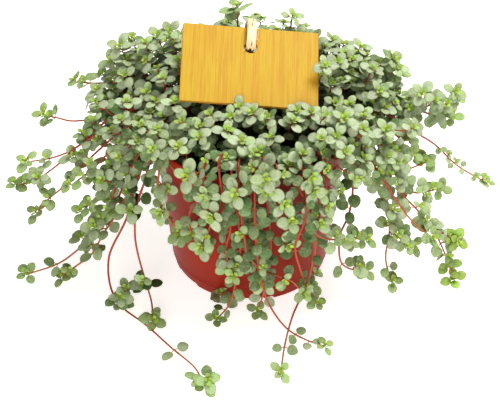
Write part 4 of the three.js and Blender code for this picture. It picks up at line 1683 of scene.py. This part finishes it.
# The shoots that the photograph shows. Those at the top stand up behind the card.
LEFT_SHOOTS = (
    Shoot((162, 122), ((-90, 25, 122), (-102, 29, 119), (-115, 35, 116)), nodes=(11,), leafy_from=30),
    Shoot(
        (172, 119), ((-97, 8, 106), (-110, 12, 101), (-119, 16, 98), (-128, 21, 97), (-137, 25, 96)),
        nodes=(9,), leafy_from=44,
    ),
    Shoot(
        (178, 123), ((-96, -2, 107), (-111, -7, 94), (-127, -5, 84), (-147, 0, 76)),
        nodes=(17,), leafy_from=48,
    ),
    Shoot(
        (183, 119),
        ((-96, -9, 106), (-114, -11, 94), (-122, -11, 85), (-134, -7, 72), (-145, -2, 61),
         (-157, 0, 57)),
        nodes=(8, 22), leafy_from=72,
    ),
    Shoot(
        (187.5, 122),
        ((-92, -14, 101), (-109, -16, 84), (-123, -16, 67), (-134, -17, 57), (-141, -19, 48)),
        nodes=(16, 44), leafy_from=58, sprouting=0.9,
    ),
    Shoot((191, 119), ((-84, -18, 104), (-101, -24, 88), (-114, -30, 80)), bushy=0.3),
    Shoot(
        (195, 121), ((-83, -24, 96), (-96, -29, 74), (-109, -33, 60)),
        spacing=10, fork=((-87, -34, 76), (-95, -41, 60)),
    ),
    Shoot(
        (200, 119),
        ((-76, -29, 94), (-85, -27, 68), (-98, -27, 42), (-114, -28, 25), (-129, -31, 14),
         (-150, -35, 8)),
        nodes=(22, 50), leafy_from=90, spacing=15, sprouting=0.6, bushy=0.1,
    ),
    Shoot(
        (204, 120),
        ((-74, -34, 92), (-80, -34, 72), (-96, -38, 45), (-105, -38, 28), (-115, -37, 18),
         (-122, -36, 11), (-126, -37, 7)),
        nodes=(8, 33, 38, 55, 62), leafy_from=75, spacing=14, sprouting=0.6, bushy=0.1,
    ),
    Shoot(
        (208.5, 119),
        ((-70, -38, 92), (-79, -41, 62), (-93, -42, 28), (-92, -50, 8), (-84, -62, 3.4),
         (-68, -78, 3.4), (-50, -99, 3.4), (-34, -117, 3.4), (-28, -132, 4)),
        nodes=(8, 38, 95, 100), leafy_from=170, spacing=14,
    ),
    Shoot(
        (213, 120),
        ((-66, -43, 92), (-72, -43, 72), (-74, -46, 48), (-69, -51, 17), (-65, -59, 6), (-63, -76, 4)),
        nodes=(6, 28, 33), leafy_from=88, spacing=14, bushy=0.1, age=0.9,
    ),
    Shoot(
        (219, 119), ((-57, -47, 94), (-57, -49, 84), (-55, -52, 75)),
        spacing=10, sprouting=0.4, bushy=0, fork=((-50, -53, 70), (-44, -54, 60)), fork_from=1,
    ),
)

RIGHT_SHOOTS = (
    Shoot(
        (10, 119), ((88, 17, 116), (100, 20, 110), (113, 19, 107), (126, 27, 106), (137, 36, 103)),
        spacing=9, bushy=0.7, fork=((114, 29, 97), (128, 33, 90), (138, 42, 84)), fork_from=1,
    ),
    Shoot((20, 122), ((80, 28, 130), (91, 31, 137))),
    Shoot((15.5, 124), ((84, 24, 124), (97, 29, 126))),
    Shoot(
        (5, 122), ((90, 5, 110), (103, 8, 98), (124, 17, 78), (141, 16, 61), (162, 14, 48)),
        nodes=(5, 12, 21, 28, 36, 44), leafy_from=85, bushy=0, size=0.62,
    ),
    Shoot(
        (355, 121), ((85, -9, 104), (101, -9, 78), (110, 2, 71), (118, 11, 68)),
        nodes=(5,), leafy_from=34,
    ),
    Shoot((359.5, 119), ((84, 0, 108), (96, -1, 97), (106, 0, 82)), bushy=0.5),
    Shoot(
        (341.5, 119),
        ((76, -23, 96), (83, -22, 76), (90, -24, 56), (92, -29, 40), (90, -37, 24), (94, -45, 10)),
        nodes=(11,), leafy_from=42, spacing=9, fork=((99, -30, 36), (107, -33, 32)), fork_from=3,
    ),
    Shoot(
        (351, 119), ((84, -14, 96), (98, -14, 72), (108, -12, 60), (128, 2, 52)),
        nodes=(7, 17), leafy_from=26,
    ),
    Shoot(
        (336, 122), ((80, -33, 94), (92, -34, 74), (104, -35, 56), (119, -34, 40)),
        nodes=(5,), leafy_from=55, age=0.72,
    ),
    Shoot(
        (346.5, 120),
        ((83, -19, 94), (97, -23, 70), (111, -22, 52), (121, -22, 38), (129, -26, 24), (137, -38, 6)),
        nodes=(6, 12, 18, 26, 44, 50), leafy_from=62, spacing=12, bushy=0.15, young=25, tender=0.85,
        fork=((129, -27, 37), (137, -31, 34)), fork_from=3,
    ),
    Shoot(
        (309, 119), ((44, -66, 92), (40, -71, 76), (49, -62, 62), (63, -51, 53), (74, -44, 47)),
        nodes=(8, 16, 24, 32), leafy_from=62, bushy=0,
    ),
    Shoot(
        (327, 119),
        ((64, -42, 92), (63, -44, 68), (58, -45, 50), (59, -52, 34), (66, -50, 26), (75, -47, 22)),
        nodes=(9, 19), leafy_from=62, sprouting=0.5, bushy=0, age=0.78,
    ),
)

FRONT_SHOOTS = (
    FrontShoot(
        (246, 119), ((-27, -64, 99), (-24, -64, 80), (-29, -61, 56)),
        fork=((-36, -61, 86), (-38, -60, 72), (-36, -58, 62)),
    ),
    FrontShoot((254, 124), ((-16, -69, 99), (-12, -68, 76), (-15, -67, 56), (-10, -76, 44))),
    FrontShoot(
        (260.5, 119), ((-8, -72, 96), (-6, -69, 56), (-9, -67, 30), (-14, -69, 11), (-22, -75, 4.5)),
        nodes=(8, 19, 28), leafy_from=48,
    ),
    FrontShoot((269, 119), ((0, -71, 106), (2, -68, 84), (4, -66, 56), (6, -65, 30))),
    FrontShoot(
        (277, 124), ((11, -71, 92), (13, -67, 56), (10, -64, 24), (5, -70, 7)),
        nodes=(12,), leafy_from=50,
    ),
    FrontShoot((284, 119), ((18, -70, 97), (23, -67, 82), (22, -65, 62))),
    FrontShoot(
        (292, 119), ((30, -66, 104), (38, -60, 82), (42, -52, 52), (41, -53, 32), (38, -56, 19)),
        nodes=(9,), leafy_from=40,
    ),
    FrontShoot(
        (297, 121), ((34, -73, 92), (28, -73, 66), (32, -66, 40), (38, -57, 16), (44, -61, 6)),
        nodes=(6, 17), leafy_from=62,
    ),
    FrontShoot(
        (264, 122),
        ((-5, -78, 92), (0, -75, 58), (8, -72, 45), (18, -72, 40), (27, -72, 35), (34, -72, 25)),
        nodes=(4, 20, 30), leafy_from=48,
    ),
    FrontShoot(
        (272.5, 123),
        ((3, -81, 92), (6, -79, 50), (13, -77, 18), (24, -83, 4), (37, -93, 3.4), (47, -99, 4.5)),
        nodes=(12, 22), leafy_from=70,
    ),
    FrontShoot(
        (303, 119),
        ((37, -67, 92), (40, -65, 56), (36, -63, 22), (28, -78, 13), (23, -93, 5), (19, -121, 4.5)),
        nodes=(22,), leafy_from=96,
    ),
)

TOP_SHOOTS = (
    Shoot(
        (), ((-10, 38, 125), (-8, 40, 150), (-8, 45, 164)),
        root=(-8, 36), nodes=(9, 17), leafy_from=200, sprouting=0, size=1.35,
    ),
    Shoot(
        (), ((27, 38, 125), (26, 40, 148), (27, 43, 160)),
        root=(24, 34), nodes=(13,), leafy_from=200, sprouting=0, size=0.9,
    ),
)


# Rosettes that stand out in front of the pot, each on a side shoot of the trailing stem nearest to it.
FRONT_ROSETTES = (
    (-37, -66, 114), (-8, -79, 112), (9, -77, 122), (36, -68, 117), (37, -69, 107), (53, -58, 97),
    (-22, -74, 91), (25, -74, 87), (37, -66, 90), (-30, -63, 57), (-14, -67, 45), (-8, -70, 48),
    (23, -70, 65), (10, -77, 112), (8, -72, 34), (-19, -54, 6), (-26, -68, 102), (20, -75, 101),
    (-43, -53, 57), (-52, -46, 89),
)


@dataclass
class RearShoots:
    """The shoots behind the pot, fanned out evenly."""

    count: int = 6
    first_angle: float = 42.0
    step: float = 19.5
    swing: float = 5.0
    reach: tuple = (92, 104, 108, 106, 110)
    drop: tuple = (104, 84, 62, 40, 22)

    def shoots(self) -> tuple:
        """Works out their routes, of three, four or five points in turn.

        Returns:
            The shoots.
        """
        listed = []
        for index in range(self.count):
            angle = self.first_angle + index * self.step
            route = []
            for point in range(3 + index % 3):
                turn = angle + self.swing * math.sin(index * 2.3 + point)
                reach = self.reach[point] + 3 * math.cos(index * 1.7)
                route.append(tuple(on_circle(turn, reach, self.drop[point])))
            crest = (angle, 114 + 3 * (index % 3))
            listed.append(Shoot(crest, tuple(route), spacing=12, bushy=0.5))
        return tuple(listed)


@dataclass
class Crown:
    """The low dome of rosettes over the pot, each on its own thin stem from the soil."""

    around: Surroundings
    centre_height: float = 90.0
    fullness: float = 2.6
    leafy: float = 0.95  # how far out in the dome its leaves begin to hide a shoot
    top_lean: float = 5.0
    rosettes: int = 285
    # Round the dome, in front, at the sides and behind: its rise over its centre, its largest radius, how far
    # its lowest rosettes lean out from upright, and the height down to which its leaves hide a shoot.
    rise: tuple = (44.0, 56.0, 61.0)
    reach: tuple = (87.0, 102.0, 104.0)
    skirt: tuple = (59.0, 91.0, 104.0)
    hem: tuple = (117.0, 96.0, 88.0)
    soil_top: float = 97.0
    root_limit: float = 48.0  # stems stand in the soil no farther out than this
    inner_reach: float = 56.0  # rosettes nearer to the middle than this have a stem that rises inside the rim
    rim_level: float = 112.0  # stems of rosettes lower than this bend down over the rim
    card_margin: tuple = (8.0, 4.0, 9.0)  # at the card's left end, at its right end, and along its edges
    card_sink: float = 8.0
    # The nodes below a rosette: distance, the leaves' age and the chance of a side shoot.
    # The deeper pairs' old, dark leaves are painted shade for the crown's gaps.
    lower_nodes: tuple = ((7.0, 0.75, 0.45), (14.5, 0.87, 0.2), (23.0, 1.0, 0.0))
    # Rosettes listed one by one: in front, where they stand apart over a dark gap below the card, on the
    # shoulders, at the card's right-hand end, and behind its top edge.
    front: tuple = (
        (2, -31, 135), (-6, -25, 136), (37, -30, 135), (29, -28, 135), (11, -32, 133), (-46, -23, 137),
        (-24, -29, 133), (-12, -31, 133), (-41, -36, 132), (-30, -39, 131), (-14, -41, 129), (26, -37, 133),
        (46, -31, 134), (57, -34, 133), (-56, -41, 130), (-30, -48, 129), (-43, -53, 126), (13, -45, 127),
        (43, -48, 128), (52, -45, 129), (31, -56, 123), (-5, -50, 127), (5, -56, 124), (-14, -58, 121),
        (56, -55, 124), (-58, -54, 125), (23, -61, 117), (1, -62, 115),
    )
    front_limits: tuple = (-21.0, 66.0)  # the even spread keeps out of y below the one and x within the other
    front_tilt: tuple = (0.006, -0.55, 0.85)
    shoulders: tuple = (
        (-84, 32, 145), (-77, 40, 145), (-67, 30, 148), (-60, 38, 149), (-52, 40, 151), (-90, 32, 133),
        (-80, 28, 136), (-70, 30, 138), (-96, 30, 124), (-86, 24, 128), (-98, 15, 122), (-89, 18, 120),
        (70, 28, 145), (75, 26, 141), (82, 26, 134), (72, 18, 138), (88, 28, 127), (79, 18, 129),
        (93, 24, 121), (86, 18, 120), (97, 18, 116), (90, 14, 113), (101, 18, 105), (65, 18, 143),
        (64, 12, 136), (71, 12, 126),
    )
    top_tilt: tuple = (0.004, -0.3, 1.0)
    at_card: tuple = ((46, -2, 151), (55, 8, 148))
    behind_card: tuple = ((-19, 37, 151), (11, 38, 149.5), (31, 38, 149), (41, 36, 148))

    def blend(self, azimuth: float, values: tuple) -> float:
        """Gives a value round the dome.

        Args:
            azimuth: the angle round the pot.
            values: the value in front, at the sides and behind.

        Returns:
            The value at that angle.
        """
        front, side, rear = values
        sine = math.sin(math.radians(azimuth))
        return side + (front - side) * max(0.0, -sine) ** 2 + (rear - side) * max(0.0, sine) ** 2

    def is_inside(self, point: np.ndarray) -> bool:
        """Says whether a point is within the dome's leaves, where a shoot is bare.

        Args:
            point: the point.

        Returns:
            Whether it is.
        """
        azimuth = math.degrees(math.atan2(point[1], point[0]))
        out = math.hypot(point[0], point[1]) / self.blend(azimuth, self.reach)
        up = (point[2] - self.centre_height) / self.blend(azimuth, self.rise)
        is_over_hem = point[2] > self.blend(azimuth, self.hem)
        depth = out**self.fullness + max(0.0, up) ** self.fullness
        return is_over_hem and depth < self.leafy**self.fullness

    def under_card(self, point: np.ndarray) -> np.ndarray:
        """Lowers a point that would stand in or above the card.

        Args:
            point: the point.

        Returns:
            The point, or the one below it that is under the card.
        """
        card = self.around.card
        local = card.local(point)
        left, right, edge = self.card_margin
        is_beside = not -left < local[0] + card.width / 2 < card.width + left + right
        if is_beside or abs(local[1]) > card.height / 2 + edge:
            return point
        local[2] = min(local[2], -self.card_sink)
        return card.place(local)

    def places(self, rng: np.random.Generator) -> list:
        """Spreads the rosettes evenly over the dome by the golden angle, shaken a little.

        Args:
            rng: the source of chance.

        Returns:
            The rosettes' places, each with the dome's outward direction there.
        """
        lean = np.radians(np.linspace(self.top_lean, max(self.skirt), 240))
        bend = 2 / self.fullness
        out = np.sin(lean) ** bend
        up = np.sign(np.cos(lean)) * np.abs(np.cos(lean)) ** bend
        strips = np.hypot(np.diff(out * self.reach[1]), np.diff(up * self.rise[1])) * (out[1:] + out[:-1])
        area = np.concatenate([[0], np.cumsum(strips)])
        listed = []
        for index in range(self.rosettes):
            azimuth = index * GOLDEN_ANGLE + rng.uniform(-3, 3)
            part = (index + 0.5) / self.rosettes * area[-1]
            if math.degrees(np.interp(part, area, lean)) > self.blend(azimuth, self.skirt):
                continue
            wide, high = np.interp(part, area, out), np.interp(part, area, up)
            reach, rise = self.blend(azimuth, self.reach), self.blend(azimuth, self.rise)
            swell = 1 + rng.uniform(-0.15, 0.05)
            point = on_circle(azimuth, reach * wide * swell, self.centre_height + rise * high * swell)
            slope = self.fullness - 1
            outward = unit(on_circle(azimuth, wide**slope / reach, max(0.0, high) ** slope / rise))
            point = self.under_card(point + rng.uniform(-3, 3, 3))
            is_in_front = point[1] < self.front_limits[0] and abs(point[0]) < self.front_limits[1]
            if not is_in_front:
                listed.append((point, outward))
        at_top = (*self.shoulders, *self.at_card, *self.behind_card)
        for points, tilt in ((self.front, self.front_tilt), (at_top, self.top_tilt)):
            for point in points:
                outward = unit(np.array([tilt[0] * point[0], *tilt[1:]]))
                listed.append((np.array(point, float), outward))
        return listed

    def stem_route(self, point: np.ndarray, outward: np.ndarray, rng: np.random.Generator) -> list:
        """Leads a rosette's stem up from the soil and squarely out to it, over the rim where it has to.

        Args:
            point: the rosette's place.
            outward: the dome's outward direction there.
            rng: the source of chance.

        Returns:
            The points that the stem goes through.
        """
        azimuth = math.degrees(math.atan2(point[1], point[0])) + rng.uniform(-9, 9)
        reach = math.hypot(point[0], point[1])
        root_reach = min(self.root_limit, 0.35 * reach + rng.uniform(4, 14))
        root = on_circle(azimuth, root_reach, self.soil_top - 1)
        below = point - outward * min(17.0, max(4.0, point[2] - self.rim_level))
        if reach < self.inner_reach:
            return [root, below, point]
        over = on_circle(azimuth, 55 + rng.uniform(-2, 2), max(115.0, 0.4 * point[2] + 62))
        if point[2] < self.rim_level:
            below = on_circle(azimuth, min(reach - 6, 74), 119)
        return [root, over, below, point]

    def build(self, leaf: bpy.types.Material, stem: bpy.types.Material) -> None:
        """Makes the crown, each rosette with the CAD branch that it is nearest to.

        Args:
            leaf: the leaves' material.
            stem: the stems' material.
        """
        rng = np.random.default_rng([SEED, 3])
        branches = sorted(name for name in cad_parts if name.startswith("crown_branch_"))
        middles = {name: np.array(sum(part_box(name), Vector())) / 2 / MM for name in branches}
        foliage = {}
        for order, name in enumerate(branches):
            foliage[name] = Foliage(self.around, np.random.default_rng([SEED, 4, order]))
        for point, outward in self.places(rng):
            nearest = min(branches, key=lambda name: np.linalg.norm(middles[name] - point))
            gathered = foliage[nearest]
            path = smooth_path(self.stem_route(point, outward, rng), 3.0)
            # A crown stem starts at youth 0, near-black, as painted shade deep in the crown.
            gathered.stems.append(StemRun(path, thick=0.55, thin=0.4, old=0.0, young=0.55))
            size = rng.uniform(0.74, 0.97)
            facing = unit(outward * 0.7 + UP + FRONT * 0.25 + rng.uniform(-0.4, 0.4, 3))
            gathered.add_rosette(point, facing, size)
            step = path_length(path) / (len(path) - 1)
            turn = rng.uniform(0, 180)
            # The lower pairs' old, dark leaves paint shade into the gaps deep in the crown.
            for below, age, sprouting in self.lower_nodes:
                index = len(path) - 1 - round(below * rng.uniform(0.9, 1.1) / step)
                if index < 2:
                    break
                along = unit(path[index + 1] - path[index - 1])
                gathered.add_node(path[index], along, size * 1.04, age, sprouting, turn=turn)
                turn += 90
        for name in branches:
            foliage[name].build(name, leaf, stem)


@dataclass
class Trails:
    """The shoots that trail out of the crown, one by one."""

    around: Surroundings
    crown: Crown
    crest_radius: float = 66.5
    knee_radius: float = 58.0
    root_radii: tuple = (30.0, 38.0, 46.0)
    step: float = 2.2
    thick: float = 0.9
    thin: float = 0.55

    def path(self, shoot: Shoot, order: int) -> np.ndarray:
        """Runs a shoot's curve from the soil to its tip.

        Args:
            shoot: the shoot.
            order: its number, which decides how far out it stands in the soil.

        Returns:
            Points along the curve.
        """
        root_height = self.crown.soil_top
        if shoot.root:
            return smooth_path([(*shoot.root, root_height), *shoot.route], self.step)
        angle, height = shoot.crest
        root = on_circle(angle, self.root_radii[order % len(self.root_radii)], root_height)
        knee = on_circle(angle, self.knee_radius, height - 1)
        crest = on_circle(angle, self.crest_radius, height)
        return smooth_path([root, knee, crest, *shoot.route], self.step)

    def node_places(self, foliage: Foliage, path: np.ndarray, shoot: Shoot) -> list:
        """Lists the distances from the tip at which nodes stand, up to where the crown hides the stem.

        Args:
            foliage: the source of chance.
            path: the stem's points.
            shoot: the shoot.

        Returns:
            The distances.
        """
        length = path_length(path)
        outside = [index for index, point in enumerate(path) if not self.crown.is_inside(point)]
        bare = length - (outside[0] if outside else len(path)) * length / (len(path) - 1)
        places = [place for place in shoot.nodes if place < length - 4]
        place = shoot.leafy_from
        while place < bare:
            places.append(place)
            place += shoot.spacing * foliage.vary(1, 0.16)
        return places

    def add_run(self, foliage: Foliage, path: np.ndarray, shoot: Shoot) -> None:
        """Adds one stem with its nodes and its tip rosette.

        Args:
            foliage: what gathers the shoot's leaves and stems.
            path: the stem's points.
            shoot: the shoot's leaves.
        """
        step = path_length(path) / (len(path) - 1)
        foliage.stems.append(StemRun(path, self.thick, self.thin, old=0.22, young=0.8))
        turn = foliage.vary(45, 45)
        for order, place in enumerate(self.node_places(foliage, path, shoot)):
            index = min(len(path) - 2, max(1, len(path) - 1 - round(place / step)))
            along = unit(path[index + 1] - path[index - 1])
            grown = min(1.0, 0.8 + place / 90)
            youth = shoot.tender * max(0.0, 1 - place / shoot.young)
            size = foliage.vary(shoot.size * grown, 0.07)
            age = (shoot.age + 0.1 * min(1.0, place / 60)) * (1 - youth)
            foliage.add_node(path[index], along, size, age, shoot.sprouting, shoot.bushy, turn + 90 * order)
        along = unit(path[-1] - path[-3])
        light = self.around.light(path[-1])
        foliage.add_rosette(path[-1], along * 0.12 + light, 0.88 * shoot.size, 0.8 * shoot.tender)

    def build(self, leaf: bpy.types.Material, stem: bpy.types.Material) -> None:
        """Makes every shoot, and gives each rosette in front of the pot to the shoot nearest to it.

        Args:
            leaf: the leaves' material.
            stem: the stems' material.
        """
        sides = {"left": LEFT_SHOOTS, "right": RIGHT_SHOOTS, "front": FRONT_SHOOTS, "top": TOP_SHOOTS}
        sides["rear"] = RearShoots().shoots()
        shoots = {}
        for side, group in sides.items():
            for number, shoot in enumerate(group, 1):
                shoots[f"{side}_shoot_{number}"] = shoot
        paths = {name: self.path(shoot, order) for order, (name, shoot) in enumerate(shoots.items())}
        sprouts = {name: [] for name in shoots}
        for rosette in FRONT_ROSETTES:
            tip = np.array(rosette, float)
            axil = tip * np.array([0.94, 0.94, 1.0]) + UP * 5
            gaps = {name: np.linalg.norm(path - axil, axis=1) for name, path in paths.items()}
            nearest = min(gaps, key=lambda name: gaps[name].min())
            sprouts[nearest].append((paths[nearest][gaps[nearest].argmin()], tip))
        for order, (name, shoot) in enumerate(shoots.items()):
            foliage = Foliage(self.around, np.random.default_rng([SEED, 5, order]))
            self.add_run(foliage, paths[name], shoot)
            if shoot.fork:
                branching = np.array(shoot.route[shoot.fork_from], float)
                nearest = paths[name][np.argmin(np.linalg.norm(paths[name] - branching, axis=1))]
                side = smooth_path([nearest, *shoot.fork], self.step)
                self.add_run(foliage, side, replace(shoot, nodes=(), leafy_from=8))
            for axil, tip in sprouts[name]:
                foliage.add_sprout(axil, tip, foliage.vary(0.95, 0.07), 0.05)
            foliage.build(name, leaf, stem)


# ---- Studio ----
@dataclass(frozen=True)
class Studio:
    """The plain pale floor, the soft lights and the camera."""

    elevation: float = 38.5
    distance: float = 800.0
    target: tuple = (0.0, 0.0, 44.0)
    lens: float = 85.0
    floor_side: float = 9000.0
    world: float = 0.22
    # The lights: where each hangs, its side and its power.
    lamps: tuple = (
        ("key_light", (430, 280, 1300), 800, 20.5),
        ("fill_light", (-250, -1230, 350), 900, 10.2),
    )
    lit: tuple = (0, 0, 60)  # where they point

    def build(self) -> None:
        """Makes them all."""
        self.floor()
        self.lights()
        self.camera()
        bpy.context.scene.view_settings.view_transform = "Standard"
        bpy.context.scene.view_settings.look = "Medium High Contrast"

    def floor(self) -> None:
        """Lays the floor."""
        half = self.floor_side / 2
        corners = np.array([(-half, -half, 0), (half, -half, 0), (half, half, 0), (-half, half, 0)], float)
        piece = Shape(corners, [np.array([[0, 1, 2, 3]])]).make("studio_floor")
        piece.data.materials.append(StudioFloor().make())

    def lights(self) -> None:
        """Hangs a large soft key light high at the right, a weaker one low in front, and lights the room."""
        for name, place, side, power in self.lamps:
            lamp = bpy.data.lights.new(name, "AREA")
            lamp.size = side * MM
            lamp.energy = power
            shown = bpy.data.objects.new(name, lamp)
            shown.location = Vector(place) * MM
            shown.rotation_euler = (Vector(self.lit) - Vector(place)).to_track_quat("-Z", "Y").to_euler()
            bpy.context.scene.collection.objects.link(shown)
        world = bpy.data.worlds.new("studio_room")
        world.use_nodes = True
        sky = world.node_tree.nodes["Background"]
        sky.inputs["Color"].default_value = linear("#FFFFFF")
        sky.inputs["Strength"].default_value = self.world
        bpy.context.scene.world = world

    def camera(self) -> None:
        """Sets up the camera, level in front of the pot and looking down on it."""
        lens = bpy.data.cameras.new("camera")
        lens.lens = self.lens
        camera = bpy.data.objects.new("camera", lens)
        rise = math.radians(self.elevation)
        back = Vector((0, -math.cos(rise), math.sin(rise)))
        camera.location = (Vector(self.target) + back * self.distance) * MM
        camera.rotation_euler = (-back).to_track_quat("-Z", "Y").to_euler()
        bpy.context.scene.collection.objects.link(camera)
        bpy.context.scene.camera = camera


def main() -> None:
    """Builds the studio and the object."""
    logging.basicConfig(level=logging.INFO, format="%(name)s: %(message)s")
    Studio().build()
    pot = Pot()
    pot.build()
    Soil(pot).build()
    card = Card()
    stake = Stake()
    card.build()
    Tie(card).build(stake)
    stake.build()
    leaf = PileaLeaf().make()
    stem = PileaStem().make()
    around = Surroundings(pot, card)
    crown = Crown(around)
    crown.build(leaf, stem)
    Trails(around, crown).build(leaf, stem)


if __name__ == "__main__":
    main()
